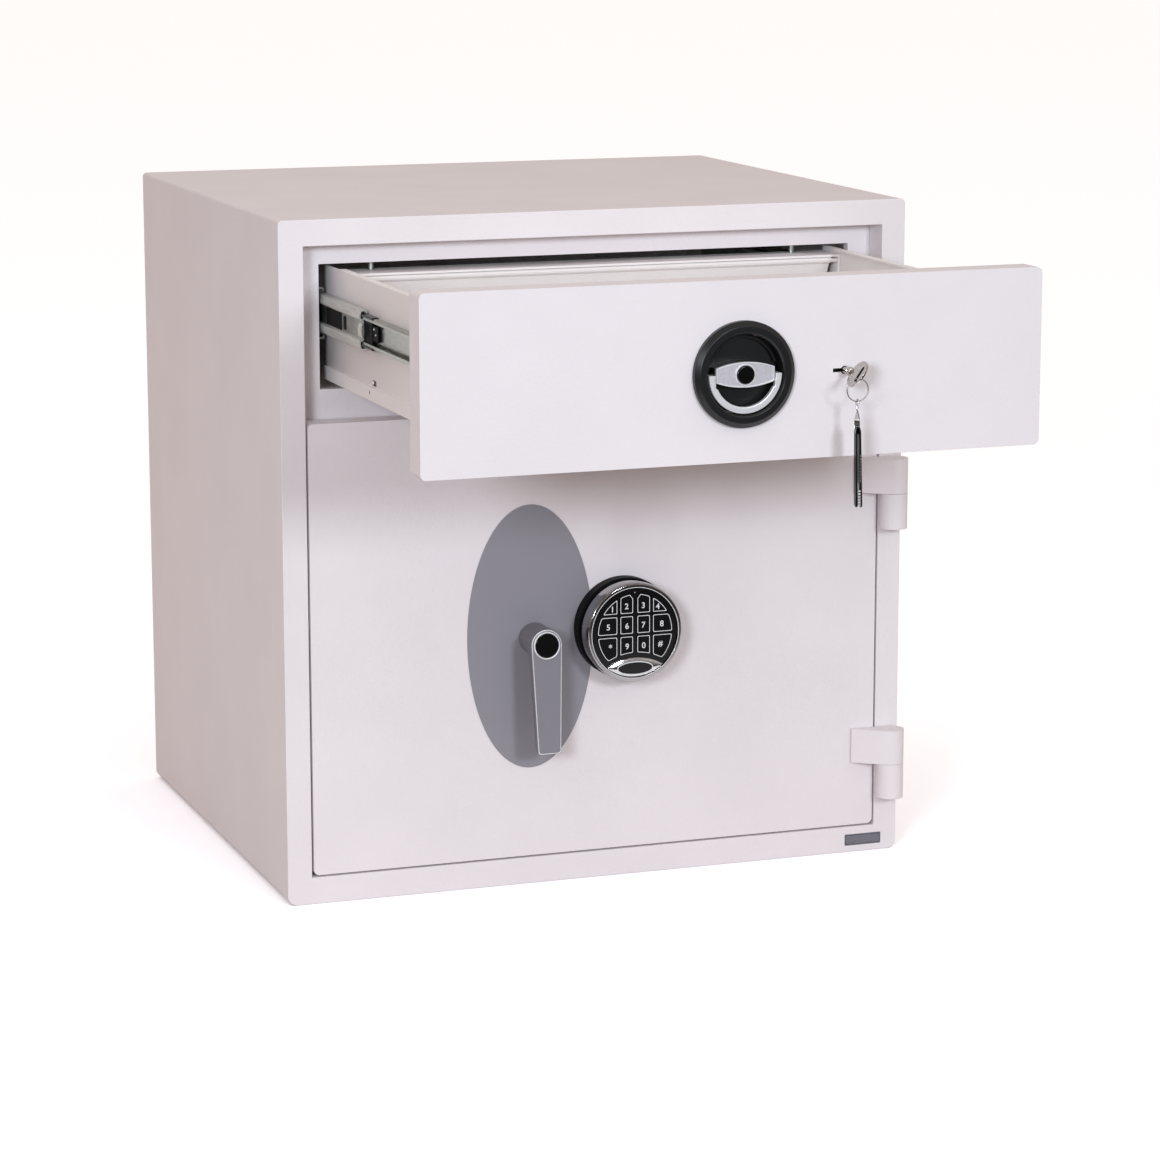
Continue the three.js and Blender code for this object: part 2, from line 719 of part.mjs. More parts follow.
function handleBail() {
  const front = -bezelProud + bridgeSunk;
  const y = [front, front + bailThickness];
  const inner = bailOuterRadius - bailBarWidth;
  const ring = cut(
    rodY(bailOuterRadius, y, 0, 0, largeRoundSides),
    rodY(inner, grown(y, overrun), 0, 0, largeRoundSides),
    block(grown([-bailOuterRadius, bailOuterRadius], overrun), grown(y, 2 * overrun),
      [0, bailOuterRadius + overrun]),
    block(grown([-plinthHalfWidth, plinthHalfWidth], fitGap), grown(y, 3 * overrun),
      [-bailClearHeight, overrun]));
  const lugs = [-1, 1].map((side) => block(
    sided(side, inner, bailOuterRadius - fitGap), [front, bailPivotY + bailLugHalfHeight],
    [-bailLugHalfHeight, bailLugHalfHeight]));
  const pins = [-1, 1].map((side) => rodX(
    bailPinRadius, sided(side, plinthHalfWidth - bailPinLength, inner + fitGap), bailPivotY, 0,
    wireSides * 2));
  return join(ring, ...lugs, ...pins);
}

// The arm on the handle's shaft swings up behind the frame when the handle turns
function latchArm() {
  const y = [catchFrontY - frontY, catchBackY - frontY];
  const reach = drawerOpeningTop + armOverlap - handleZ;
  return cut(
    join(rodY(latchHubRadius, y, 0, 0, roundSides), block([-reach, 0], y, around(0, latchArmWidth))),
    rodY(dishShaftRadius + fitGap, grown(y, overrun), 0, 0));
}

// Drawer lock: the case behind the front, and the arm that the key swings up behind the frame
function lockCase() {
  const y = [leafSheet + fitGap, catchFrontY - frontY - fitGap];
  return cut(
    block(around(0, lockCaseWidth), y, around(0, lockCaseHeight)),
    rodY(lockCavityRadius, [y[0] - overrun, y[1] - lockCavityBack], 0, 0),
    rodY(lockSpindleRadius + fitGap, grown(y, overrun), 0, 0));
}

function lockArm() {
  const y = [catchFrontY - frontY, catchBackY - frontY];
  const plugY = [keyInnerLength + fitGap, y[0] - lockCavityBack - 2 * fitGap];
  const reach = drawerOpeningTop + armOverlap - keyZ;
  return join(
    rodY(lockPlugRadius, plugY, 0, 0, roundSides),
    rodY(lockSpindleRadius, [plugY[1] - overrun, y[1]], 0, 0),
    rodY(lockPlugRadius, y, 0, 0, roundSides),
    block([0, reach], y, around(0, lockArmWidth)));
}

// The key is drawn about its own axis with its bow upright
function drawerKey() {
  const bowY = -keyBowSet;
  const bow = cut(
    plateX(roundShape(bowY, 0, keyBowRadius), around(0, keyBowThickness), smallRoundSides / 2),
    plateX(slotShape(bowY - keySlotSet, 0, keySlotHalfWidth, keySlotHalfLength),
      around(0, keyBowThickness + overrun)));
  const shank = rodY(keyShankRadius, [bowY + keyBowRadius - overrun, keyInnerLength], 0, 0);
  const collarEnd = bowY + keyBowRadius + 2 * keyCollarLength;
  const collar = rodY(keyCollarRadius, [collarEnd - keyCollarLength, collarEnd], 0, 0);
  const bit = block(around(0, keyBowThickness), [keyInnerLength - keyBitLength, keyInnerLength - overrun],
    [0, keyBitReach]);
  return join(bow, shank, collar, bit);
}

function roundShape(u, v, radius) {
  const shape = new THREE.Shape();
  shape.absarc(u, v, radius, 0, 2 * Math.PI);
  return shape;
}

function slotShape(u, v, halfWidthOfSlot, halfLengthOfSlot) {
  const straight = halfLengthOfSlot - halfWidthOfSlot;
  const shape = new THREE.Shape();
  shape.absarc(u, v + straight, halfWidthOfSlot, 0, Math.PI);
  shape.absarc(u, v - straight, halfWidthOfSlot, Math.PI, 2 * Math.PI);
  return shape;
}

function wireRing(radius, wireRadius, sides) {
  return new THREE.TorusGeometry(radius, wireRadius, wireSides, sides);
}

// The ring hangs from its own pivot, which lies in the slot of the bow
function keyRing() {
  const ring = wireRing(ringRadius, ringWireRadius, smallRoundSides);
  return solid(ring.rotateX(Math.PI / 2).translate(0, 0, -ringRadius));
}

// The hook link and the two-leaved strap hang from the foot of the ring
function fobHook() {
  const loop = solid(wireRing(hookLoopRadius, hookWireRadius, smallRoundSides / 2)
    .rotateY(Math.PI / 2).translate(0, 0, ringWireRadius + fitGap + hookWireRadius - hookLoopRadius));
  const top = ringWireRadius + fitGap + hookWireRadius - 2 * hookLoopRadius;
  const plate = block(
    around(0, hookPlateThickness), around(0, hookPlateWidth), [-hookLength, top + hookWireRadius / 2]);
  return join(loop, plate.rotate([0, 0, hookPlateTwist]));
}

function fobStrap() {
  const top = -hookLength + 3 * strapLeafThickness;
  const z = [-hookLength - strapLength + strapLeafThickness, top];
  const inner = hookPlateThickness / 2 + fitGap;
  const y = around(0, strapWidth);
  const leaves = [-1, 1].map((side) => block(sided(side, inner, inner + strapLeafThickness), y, z));
  const foot = block([-inner - strapLeafThickness, inner + strapLeafThickness], y,
    [z[0] - strapLeafThickness + strapLeafGap, z[0] + strapLeafGap]);
  return join(leaves[0], leaves[1], foot).rotate([0, 0, hookPlateTwist]);
}

// Door leaf, hinge straps and what is fixed on its two faces
const doorZ = [doorBottom, doorTop];

function doorSkin() {
  const through = [frontY - overrun, frontY + leafSheet + overrun];
  return cut(
    foldedLeaf(doorZ),
    rodY(spindleRadius + spindlePlay, through, leverX, leverZ),
    rodY(cableHoleRadius, through, keypadX, keypadZ));
}

const backPlateX = grown(openingSpanX, -backPlateGap);
const backPlateZ = [lipBottom + backPlateGap, doorOpeningTop - backPlateGap];
const backPlateY = [leafBackY + fitGap, leafBackY + fitGap + backPlateThickness];
const boltworkX = [-backPlateX[1] + 2 * backPlateGap, backPlateX[1] - 2 * backPlateGap];
const boltworkZ = grown(backPlateZ, -boltworkMargin);
const boltworkY = [backPlateY[1] + fitGap, backPlateY[1] + fitGap + boltworkDepth];
const boltY = frameBackY + boltBehindFrame + boltRadius;
const boltPitch = (lengthOf(boltworkZ) - 2 * boltEndMargin) / (boltCount - 1);
const boltPlaces = Array.from({ length: boltCount }, (_, i) => boltworkZ[0] + boltEndMargin + i * boltPitch);

function doorBackPlate() {
  return cut(
    block([boltworkX[0] - backPlateGap / 2, backPlateX[1]], backPlateY, backPlateZ),
    rodY(spindleRadius + spindlePlay, grown(backPlateY, overrun), leverX, leverZ),
    rodY(cableHoleRadius, grown(backPlateY, overrun), keypadX, keypadZ));
}

function boltworkHousing() {
  const holes = boltPlaces.map((z) => rodX(
    boltRadius + boltPlay, grown([boltworkX[0], boltworkX[0] + boltworkWall], overrun), boltY, z));
  return cut(
    block(boltworkX, boltworkY, boltworkZ),
    block(grown(boltworkX, -boltworkWall), grown(boltworkY, overrun), grown(boltworkZ, -boltworkWall)),
    ...holes);
}

const boltworkCover = () => block(
  boltworkX, [boltworkY[1] + fitGap, boltworkY[1] + fitGap + boltworkCoverSheet], boltworkZ);

function hingeSideDog() {
  const y = frameBackY + dogBehindFrame;
  return block([boltworkX[1] + fitGap, boltworkX[1] + dogReach], [y, y + dogThickness],
    grown(boltworkZ, -dogEndMargin));
}

// The strap is a wedge from the door face to the front of the knuckle
function hingeStrap(strapZ) {
  const z = [strapZ, strapZ + strapHeight];
  const faceY = frontY - fitGap;
  const edge = new THREE.Vector2(hingeStrapLeftX, faceY - hingeStrapEdge);
  const axis = new THREE.Vector2(hingeAxisX, hingeAxisY);
  const reach = axis.clone().sub(edge);
  const heading = reach.angle() - Math.asin(knuckleRadius / reach.length());
  const run = Math.sqrt(reach.lengthSq() - knuckleRadius * knuckleRadius);
  const touch = [edge.x + run * Math.cos(heading), edge.y + run * Math.sin(heading)];
  const wedge = plateZ(polygon([
    [hingeStrapLeftX, faceY], [edge.x, edge.y], touch, [hingeAxisX, hingeAxisY], [hingeAxisX, faceY],
  ]), z);
  const bore = rodZ(hingePinRadius + hingePinPlay, [z[0] - overrun, z[0] + hingePinLength + fitGap],
    hingeAxisX, hingeAxisY);
  return cut(join(wedge, rodZ(knuckleRadius, z, hingeAxisX, hingeAxisY, roundSides)), bore);
}

function ovalPlate() {
  const shape = new THREE.Shape();
  shape.absellipse(ovalX, ovalZ, ovalWidth / 2, ovalHeight / 2, 0, 2 * Math.PI);
  const y = [frontY - fitGap - ovalThickness, frontY - fitGap];
  return cut(
    plateY(shape, y, largeRoundSides),
    rodY(spindleRadius + spindlePlay, grown(y, overrun), leverX, leverZ));
}

// Door lever, drawn about its own centre where it meets the badge plate
const hubBack = -2 * fitGap - ovalThickness;
const hubFront = hubBack - leverHubHeight;

function doorLever() {
  const hub = rodY(leverHubRadius, [hubFront, hubBack], 0, 0, roundSides);
  const half = leverTipWidth / 2;
  const tipX = half - leverTipRadius;
  const tipZ = leverTipRadius - leverReach;
  const outline = new THREE.Shape();
  outline.absarc(0, 0, leverHubRadius, 0, Math.PI);
  outline.lineTo(-half, tipZ);
  outline.absarc(-tipX, tipZ, leverTipRadius, Math.PI, 1.5 * Math.PI);
  outline.absarc(tipX, tipZ, leverTipRadius, 1.5 * Math.PI, 2 * Math.PI);
  const options = { depth: leverArmThickness, bevelEnabled: false, curveSegments: roundSides / 2 };
  const arm = solid(new THREE.ExtrudeGeometry(outline, options)
    .rotateX(Math.PI / 2).translate(0, leverArmThickness, 0)
    .rotateX(-leverLean * degrees).translate(0, hubFront, 0));
  const socket = rodY(capRadius, [hubFront - overrun, hubFront + capDepth], 0, 0, roundSides);
  const frontTrim = block(
    grown([-leverHubRadius, leverHubRadius], overrun), [hubFront - leverHubRadius, hubFront],
    [-leverHubRadius / 2, 2 * leverHubRadius]);
  const bore = rodY(spindleRadius + fitGap, [hubBack - spindleInHub - fitGap, hubBack + overrun], 0, 0);
  return cut(join(hub, cut(arm, frontTrim)), socket, bore);
}

const leverCap = () => rodY(capRadius - fitGap, [hubFront, hubFront + capDepth - fitGap], 0, 0, roundSides);

const boltCrankReach = boltTravel / Math.SQRT2;
const boltCrankOffset = boltTravel / 2;
const bridleY = [boltY + boltBarThickness / 4, boltY + boltBarThickness / 4 + bridleThickness];

function handleSpindle() {
  const camBack = bridleY[0] - crankGap - frontY;
  const bar = rodY(spindleRadius, [hubBack - spindleInHub, camBack], 0, 0);
  const cam = rodY(camDiscRadius, [camBack - camThickness, camBack], 0, 0);
  const lobe = rodY(camEndRadius, [camBack - camThickness, camBack], boltCrankOffset, -boltCrankOffset);
  const pin = rodY(crankPinRadius, [camBack - camThickness, camBack + crankGap + bridleThickness + crankGap],
    boltCrankOffset, -boltCrankOffset);
  return join(bar, cam, lobe, pin);
}

const boltTipX = boltworkX[0] - boltProud;
const boltBarLeftX = boltworkX[0] + boltworkWall + boltBarClear;
const boltBarX = [boltBarLeftX, boltBarLeftX + boltBarWidth];

function boltCarriage() {
  const bar = block(boltBarX, around(boltY, boltBarThickness),
    [boltPlaces[0] - boltBarOverhang, boltPlaces[boltCount - 1] + boltBarOverhang]);
  const bridle = block([middle(boltBarX), lockBodyLeftX - bridleToLock], bridleY,
    [leverZ + bridleAbovePivot - bridleWidth, leverZ + bridleAbovePivot]);
  const play = crankPinRadius + crankSlotPlay;
  const slot = block(around(leverX + boltCrankOffset, 2 * play), grown(bridleY, overrun),
    [leverZ - boltCrankReach - play, leverZ - boltCrankOffset + play]);
  return cut(join(bar, bridle), slot);
}

const lockingBolt = (z) => rodX(boltRadius, [boltTipX, boltBarX[0] - fitGap], boltY, z);

// Electronic lock and the small bolt that swings out of it to block the carriage
const lockBodyX = [lockBodyLeftX, lockBodyLeftX + lockBodyWidth];
const lockBodyY = [backPlateY[1] + fitGap, backPlateY[1] + fitGap + lockBodyDepth];
const swingPivotX = lockBodyX[0] + swingBoltInset;
const swingPivotZ = keypadZ - swingBoltBelowCentre;

function electronicLock() {
  const pocketY = around(middle(bridleY), swingBoltThickness + 2 * swingBoltPlay);
  const pocket = block([lockBodyX[0] - overrun, swingPivotX + swingBoltWidth / 2 + swingBoltPlay], pocketY,
    [swingPivotZ - swingBoltWidth, swingPivotZ + pocketRise]);
  return cut(block(lockBodyX, lockBodyY, around(keypadZ, lockBodyHeight)), pocket);
}

function swingBolt() {
  const y = around(middle(bridleY) - frontY, swingBoltThickness);
  const half = swingBoltWidth / 2;
  return join(rodY(half, y, 0, 0), block([-half, half], y, [0, swingBoltLength]));
}

// Keypad, drawn about its own centre on the door face
const keypadBack = hubBack;
const housingBack = keypadBack - keypadBaseThickness - fitGap;
const keypadFront = -keypadHeight;
const keypadFaceY = keypadFront + keypadFaceSet;

const keypadBase = () => rodY(
  keypadRadius, [keypadBack - keypadBaseThickness, keypadBack], 0, 0, largeRoundSides);

function keypadHousing() {
  const bore = keypadFaceRadius + fitGap;
  const profile = [
    [bore, housingBack], [keypadRadius - keypadWaist, housingBack],
    [keypadRadius, housingBack - keypadRimRound], [keypadRadius, keypadFront + 2 * keypadRimRound],
    [keypadRadius - keypadWaist / 2, keypadFront + keypadRimRound],
    [keypadRimRadius, keypadFront + keypadWaist / 2],
    [keypadRimRadius - keypadWaist, keypadFront], [bore + keypadWaist / 2, keypadFront],
    [bore, keypadFront + keypadWaist / 2],
  ];
  return turnedY(profile, 0, 0);
}

const innerKeyX = [keyMiddleGap / 2, keyMiddleGap / 2 + keyWidth];
const outerKeyX = [innerKeyX[1] + keyColumnGap, keyFieldRadius];
const middleKeyZ = around(keyFieldLift, keyHeight);
const columnSpans = [sided(-1, ...outerKeyX), sided(-1, ...innerKeyX), innerKeyX, outerKeyX];
const rowSpans = [
  [middleKeyZ[1] + keyRowGap, keyFieldRadius], middleKeyZ, [-keyFieldRadius, middleKeyZ[0] - keyRowGap]];
const keyNames = [['1', '2', '3', '4'], ['5', '6', '7', '8'], ['star', '9', '0', 'hash']];

// One key outline, clipped by the round field, the lamp notch and the badge
function keyBody(row, column, shrink, y) {
  const x = grown(columnSpans[column], -shrink);
  const z = grown(rowSpans[row], -shrink);
  const clip = rodY(keyFieldRadius - shrink, grown(y, overrun), 0, 0, largeRoundSides);
  const notch = rodY(keyNotchRadius + shrink, grown(y, overrun), 0, keyFieldRadius, smallRoundSides);
  const badge = rodY(badgeClearRadius + shrink, grown(y, overrun), 0, -badgeClearDrop, largeRoundSides);
  return cut(block(x, y, z).intersect(clip), notch, badge);
}

function forEachKey(run) {
  keyNames.forEach((names, row) => names.forEach((name, column) => run(name, row, column)));
}

function keypadFace() {
  const y = [keypadFaceY, keypadFaceY + keypadFaceThickness];
  const pocketY = [keypadFaceY - overrun, keypadFaceY - keyProud + keyDepth + keyTravel + keyPlay];
  const pockets = [];
  forEachKey((name, row, column) => pockets.push(keyBody(row, column, 0, pocketY)));
  const badge = new THREE.Shape();
  const badgeZ = badgeFootGap + badgeHalfHeight - keypadFaceRadius;
  badge.absellipse(0, badgeZ, badgeHalfWidth, badgeHalfHeight, 0, 2 * Math.PI);
  const disc = rodY(keypadFaceRadius, y, 0, 0, largeRoundSides);
  return cut(join(disc, plateY(badge, [y[0] - badgeProud, y[0] + overrun], roundSides / 2)
    .intersect(rodY(keypadFaceRadius, grown(y, 2 * overrun), 0, 0, largeRoundSides))), ...pockets);
}

// The whole object
const safe = new THREE.Group();
part(safe, 'outer_casing', outerCasing(), 'powderCoat');
part(safe, 'front_frame', frontFrame(), 'powderCoat');
part(safe, 'barrier_fill', barrierFill(), 'concrete');
part(safe, 'inner_liner', innerLiner(), 'innerPaint');
part(safe, 'drawer_bay_floor', drawerBayFloor(), 'innerPaint');
part(safe, 'hinge_lug_lower', hingeLug(lowerStrapZ), 'powderCoat');
part(safe, 'hinge_lug_upper', hingeLug(upperStrapZ), 'powderCoat');
part(safe, 'cabinet_slide_left', cabinetSlide(-1), 'bareZinc');
part(safe, 'cabinet_slide_right', cabinetSlide(1), 'bareZinc');

const middles = groupIn(safe, 0, -middleTravel, 0);
part(middles, 'middle_slide_left', middleSlide(-1), 'bareZinc');
part(middles, 'middle_slide_right', middleSlide(1), 'bareZinc');

const drawer = groupIn(safe, 0, -drawerTravel, 0);
part(drawer, 'drawer_front', drawerFront(), 'powderCoat');
part(drawer, 'drawer_tray', drawerTray(), 'innerPaint');
part(drawer, 'rear_header', rearHeader(), 'innerPaint');
part(drawer, 'drawer_slide_left', drawerSlide(-1), 'bareZinc');
part(drawer, 'drawer_slide_right', drawerSlide(1), 'bareZinc');
const flap = groupIn(drawer, 0, flapAxisY, flapAxisZ);
flap.rotation.x = flapLean * degrees;
part(flap, 'rear_flap', rearFlap(), 'innerPaint');

const handle = groupIn(drawer, handleX, frontY, handleZ);
part(handle, 'handle_bezel', handleBezel(), 'blackPlastic');
part(handle, 'handle_dish', handleDish(), 'blackPlastic');
part(handle, 'handle_bridge', handleBridge(), 'satinSilver');
part(handle, 'handle_bail', handleBail(), 'satinSilver');
part(handle, 'drawer_latch_arm', latchArm(), 'steel');

const lock = groupIn(drawer, keyX, frontY, keyZ);
part(lock, 'drawer_lock_case', lockCase(), 'steel');
const lockArmGroup = groupIn(lock);
lockArmGroup.rotation.y = -lockArmRest * degrees;
part(lockArmGroup, 'drawer_lock_arm', lockArm(), 'steel');
const key = groupIn(lock);
key.rotation.y = keyBowTurn * degrees;
part(key, 'drawer_key', drawerKey(), 'chrome');
const ringPivot = new THREE.Vector3(0, -keyBowSet - keySlotSet, -ringHangShift)
  .applyAxisAngle(new THREE.Vector3(0, 1, 0), keyBowTurn * degrees);
const ring = groupIn(lock, ringPivot.x, ringPivot.y, ringPivot.z);
part(ring, 'key_ring', keyRing(), 'chrome');
const fob = groupIn(ring, 0, 0, -2 * ringRadius);
part(fob, 'fob_hook', fobHook(), 'chrome');
part(fob, 'fob_strap', fobStrap(), 'strapBlack');

part(safe, 'door_skin', doorSkin(), 'powderCoat');
part(safe, 'door_back_plate', doorBackPlate(), 'innerPaint');
part(safe, 'boltwork_housing', boltworkHousing(), 'innerPaint');
part(safe, 'boltwork_cover', boltworkCover(), 'innerPaint');
part(safe, 'hinge_side_dog', hingeSideDog(), 'steel');
part(safe, 'hinge_strap_lower', hingeStrap(lowerStrapZ), 'powderCoat');
part(safe, 'hinge_strap_upper', hingeStrap(upperStrapZ), 'powderCoat');
part(safe, 'oval_plate', ovalPlate(), 'greyPlate');
part(safe, 'electronic_lock', electronicLock(), 'satinSilver');
part(safe, 'bolt_carriage', boltCarriage(), 'steel');
['lower', 'middle', 'upper'].forEach((name, i) => part(
  safe, `locking_bolt_${name}`, lockingBolt(boltPlaces[i]), 'chrome'));

const lever = groupIn(safe, leverX, frontY, leverZ);
part(lever, 'door_lever', doorLever(), 'greyLever');
part(lever, 'lever_cap', leverCap(), 'blackPlastic');
part(lever, 'handle_spindle', handleSpindle(), 'steel');
const swing = groupIn(safe, swingPivotX, frontY, swingPivotZ);
part(swing, 'lock_swing_bolt', swingBolt(), 'steel');

const keypad = groupIn(safe, keypadX, frontY, keypadZ);
part(keypad, 'keypad_base', keypadBase(), 'blackPlastic');
part(keypad, 'keypad_housing', keypadHousing(), 'chrome');
part(keypad, 'keypad_face', keypadFace(), 'blackPlastic');
const keyFront = keypadFaceY - keyProud;
forEachKey((name, row, column) => part(
  keypad, `key_${name}`, keyBody(row, column, keyPlay, [keyFront, keyFront + keyDepth]), 'blackRubber'));

export default safe;
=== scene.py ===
# %% [markdown]
# # Drop safe with a deposit drawer
#
# A folded steel cabinet holds a drawer on ball slides above a hinged door.
# The solids come from a CAD model, which also says what moves. This script gives them their looks:
# rounded edges, painted and plated finishes, and the fine pieces that a solid model leaves plain.
# Each cell makes one kind of piece or finish. Lengths are written in millimetres.

# %% Load the frame
import json
import math

import bmesh
import bpy
import numpy as np
from mathutils import Matrix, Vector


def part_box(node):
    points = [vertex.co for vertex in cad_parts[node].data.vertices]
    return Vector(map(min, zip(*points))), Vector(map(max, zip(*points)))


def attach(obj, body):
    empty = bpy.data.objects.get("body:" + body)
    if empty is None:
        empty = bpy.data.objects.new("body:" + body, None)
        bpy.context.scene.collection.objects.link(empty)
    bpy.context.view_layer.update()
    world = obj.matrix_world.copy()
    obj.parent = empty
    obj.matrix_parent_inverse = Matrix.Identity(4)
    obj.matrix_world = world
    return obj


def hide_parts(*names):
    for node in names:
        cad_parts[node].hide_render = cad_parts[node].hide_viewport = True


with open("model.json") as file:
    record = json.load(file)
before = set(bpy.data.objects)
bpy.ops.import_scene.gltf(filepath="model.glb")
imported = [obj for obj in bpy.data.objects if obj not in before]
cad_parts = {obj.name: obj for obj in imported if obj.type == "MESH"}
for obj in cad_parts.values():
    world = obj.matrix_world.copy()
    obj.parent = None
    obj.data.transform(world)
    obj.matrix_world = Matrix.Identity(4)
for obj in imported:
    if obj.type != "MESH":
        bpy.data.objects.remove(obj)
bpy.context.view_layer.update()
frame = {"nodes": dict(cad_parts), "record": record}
MM = 0.001
SIDES = ((-1, "left"), (1, "right"))


def cad_box(node):
    """Lowest and highest corner of a CAD node, in millimetres."""
    low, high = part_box(node)
    return np.array(low) / MM, np.array(high) / MM


def joint_place(name):
    """A point on a joint's axis, in millimetres."""
    joints = frame["record"]["behaviour"]["joints"]
    return np.array(next(joint["pos_m"] for joint in joints if joint["name"] == name)) / MM


print("frame loaded:", len(frame["nodes"]), "nodes")

# %% [markdown]
# ## Colours and shader nodes
#
# Colours are written as the hex values that a paint chart gives. A renderer counts light in linear
# steps, so one function turns the first into the second. Materials are small graphs of nodes.
# Most helpers add a node or two and give back an output, ready to be linked to the next node.


# %% Colour and node helpers
def colour(hex_text):
    """Turns an sRGB hex colour into linear red, green, blue and alpha."""
    srgb = np.array([int(hex_text[i:i + 2], 16) for i in (1, 3, 5)]) / 255
    linear = np.where(srgb <= 0.04045, srgb / 12.92, ((srgb + 0.055) / 1.055) ** 2.4)
    return (*linear.tolist(), 1.0)


def add(tree, kind, inputs=None, **settings):
    """Adds a shader node. An input is a value, or another node's socket to link."""
    node = tree.nodes.new(kind)
    for name, value in settings.items():
        setattr(node, name, value)
    for name, value in (inputs or {}).items():
        if isinstance(value, bpy.types.NodeSocket):
            tree.links.new(value, node.inputs[name])
        else:
            node.inputs[name].default_value = value
    return node


def new_material(name, **sockets):
    """Starts a material with one Principled shader whose sockets are set directly."""
    material = bpy.data.materials.new(name)
    material.use_nodes = True
    shader = material.node_tree.nodes["Principled BSDF"]
    for socket, value in sockets.items():
        shader.inputs[socket.replace("_", " ")].default_value = value
    return material, material.node_tree, shader


def noise_in(tree, size_mm, detail=2.0, stretch=(1, 1, 1)):
    """Noise on Object coordinates whose grains are size_mm across, longer along a stretched axis."""
    place = add(tree, "ShaderNodeTexCoord")
    scale = tuple(1 / side for side in stretch)
    mapping = add(tree, "ShaderNodeMapping", {"Vector": place.outputs["Object"], "Scale": scale})
    return add(tree, "ShaderNodeTexNoise", {
        "Vector": mapping.outputs["Vector"], "Scale": 1 / (size_mm * MM), "Detail": detail}).outputs["Fac"]


def blend_colours(tree, factor, low, high):
    """Runs from one colour to another as the factor goes from 0 to 1."""
    ramp = add(tree, "ShaderNodeValToRGB", {"Fac": factor})
    ramp.color_ramp.elements[0].color = low
    ramp.color_ramp.elements[1].color = high
    return ramp.outputs["Color"]


def spread(tree, value, low=0.0, high=1.0, start=0.3, end=0.7):
    """Maps a value between start and end, the middle of a noise if not given, onto low to high."""
    return add(tree, "ShaderNodeMapRange", {
        "Value": value, "From Min": start, "From Max": end, "To Min": low, "To Max": high}).outputs["Result"]


def joined(tree, operation, first, second):
    """Joins two values by an operation, such as ADD, MULTIPLY or MAXIMUM."""
    return add(tree, "ShaderNodeMath", {0: first, 1: second}, operation=operation).outputs["Value"]


def mixed(tree, factor, first, second):
    """Mixes two colours by a factor. The node numbers its colour inputs 6 and 7, and its output 2."""
    return add(tree, "ShaderNodeMix", {"Factor": factor, 6: first, 7: second}, data_type="RGBA").outputs[2]


def tint(tree, shader, noise, low, high):
    """Colours a shader by a noise, from one colour to another."""
    tree.links.new(blend_colours(tree, spread(tree, noise), low, high), shader.inputs["Base Color"])


def bump(tree, shader, height, depth_mm, strength=1.0):
    """Tilts the shading as if the height value stood depth_mm out of the surface."""
    made = add(tree, "ShaderNodeBump", {"Height": height, "Distance": depth_mm * MM, "Strength": strength})
    tree.links.new(made.outputs["Normal"], shader.inputs["Normal"])


# %% [markdown]
# ## Powder coat
#
# Powder coat is dry polyester paint that is sprayed on and baked. It flows into a skin with a fine
# pebbled surface, called orange peel. The pebbles are drawn at 2.4 mm, coarser than real ones, so that
# they still show from afar. Two layers of noise make them, and a broad one shifts the tone by a hair.


# %% Powder coat, outer and inner
def powder_coat(name, light, dark, roughness, peel_mm, depth_mm):
    """Baked polyester powder on steel: a pebbled, softly glossy skin."""
    material, tree, shader = new_material(name, Roughness=roughness, Specular_IOR_Level=0.28)
    tint(tree, shader, noise_in(tree, 90.0), colour(dark), colour(light))
    peel = joined(tree, "ADD", noise_in(tree, peel_mm, 1.0), noise_in(tree, peel_mm / 3, 0.0))
    bump(tree, shader, peel, depth_mm, 0.5)
    return material


OUTER_PAINT = powder_coat("powder_coat_warm_white", "#e7e0e2", "#e3dcde", 0.52, 2.4, 0.2)
INNER_PAINT = powder_coat("powder_coat_inner_sheet", "#eae5e4", "#e6e0de", 0.48, 1.8, 0.08)


# %% [markdown]
# ## Plated and bare metals
#
# Zinc plate on the slides is thin and passivated, which gives a faint green cast and soft streaks
# along the rolling direction. Where its clear film is thick it scatters light and is only part
# metallic. Chrome is a mirror over polished casting. The steel of the bolts is only turned and oiled.
# A metal's colour is its reflection, so roughness and streaks do most of the work.


# %% Metals
def streaked_metal(name, light, dark, rough_low, rough_high, streak_mm,
                   stretch=(1, 1, 1), depth_mm=0.004, metallic=1.0):
    """Bare or plated metal whose tone and roughness vary in streaks along one axis."""
    material, tree, shader = new_material(name, Metallic=metallic)
    streaks = noise_in(tree, streak_mm, 4.0, stretch)
    tint(tree, shader, streaks, colour(dark), colour(light))
    tree.links.new(spread(tree, streaks, rough_low, rough_high), shader.inputs["Roughness"])
    bump(tree, shader, streaks, depth_mm)
    return material


ZINC = streaked_metal("zinc_plated_rolled_steel", "#b9beb8", "#979d97", 0.28, 0.42, 1.2, (1, 12, 1))
MATT_ZINC = streaked_metal("passivated_zinc_film", "#d4d4d0", "#b9bab4", 0.32, 0.45, 1.6, (1, 14, 1),
                           metallic=0.4)
CHROME = streaked_metal("bright_chrome_plate", "#cbcac9", "#c2c1c1", 0.05, 0.09, 6.0, depth_mm=0.001)
NICKEL = streaked_metal("nickel_plated_brass", "#cdc9c4", "#a8a29b", 0.1, 0.2, 1.5, (1, 1, 2))
SMOKED_CHROME = streaked_metal("smoked_chrome_plate", "#a6a5a4", "#9d9c9c", 0.06, 0.1, 6.0, depth_mm=0.001)
STEEL = streaked_metal("turned_oiled_steel", "#a9a8a6", "#8d8c8a", 0.25, 0.4, 0.8, (8, 1, 1))
FOIL = streaked_metal("brushed_foil_label", "#77777c", "#68686e", 0.35, 0.45, 0.5, (10, 1, 1))

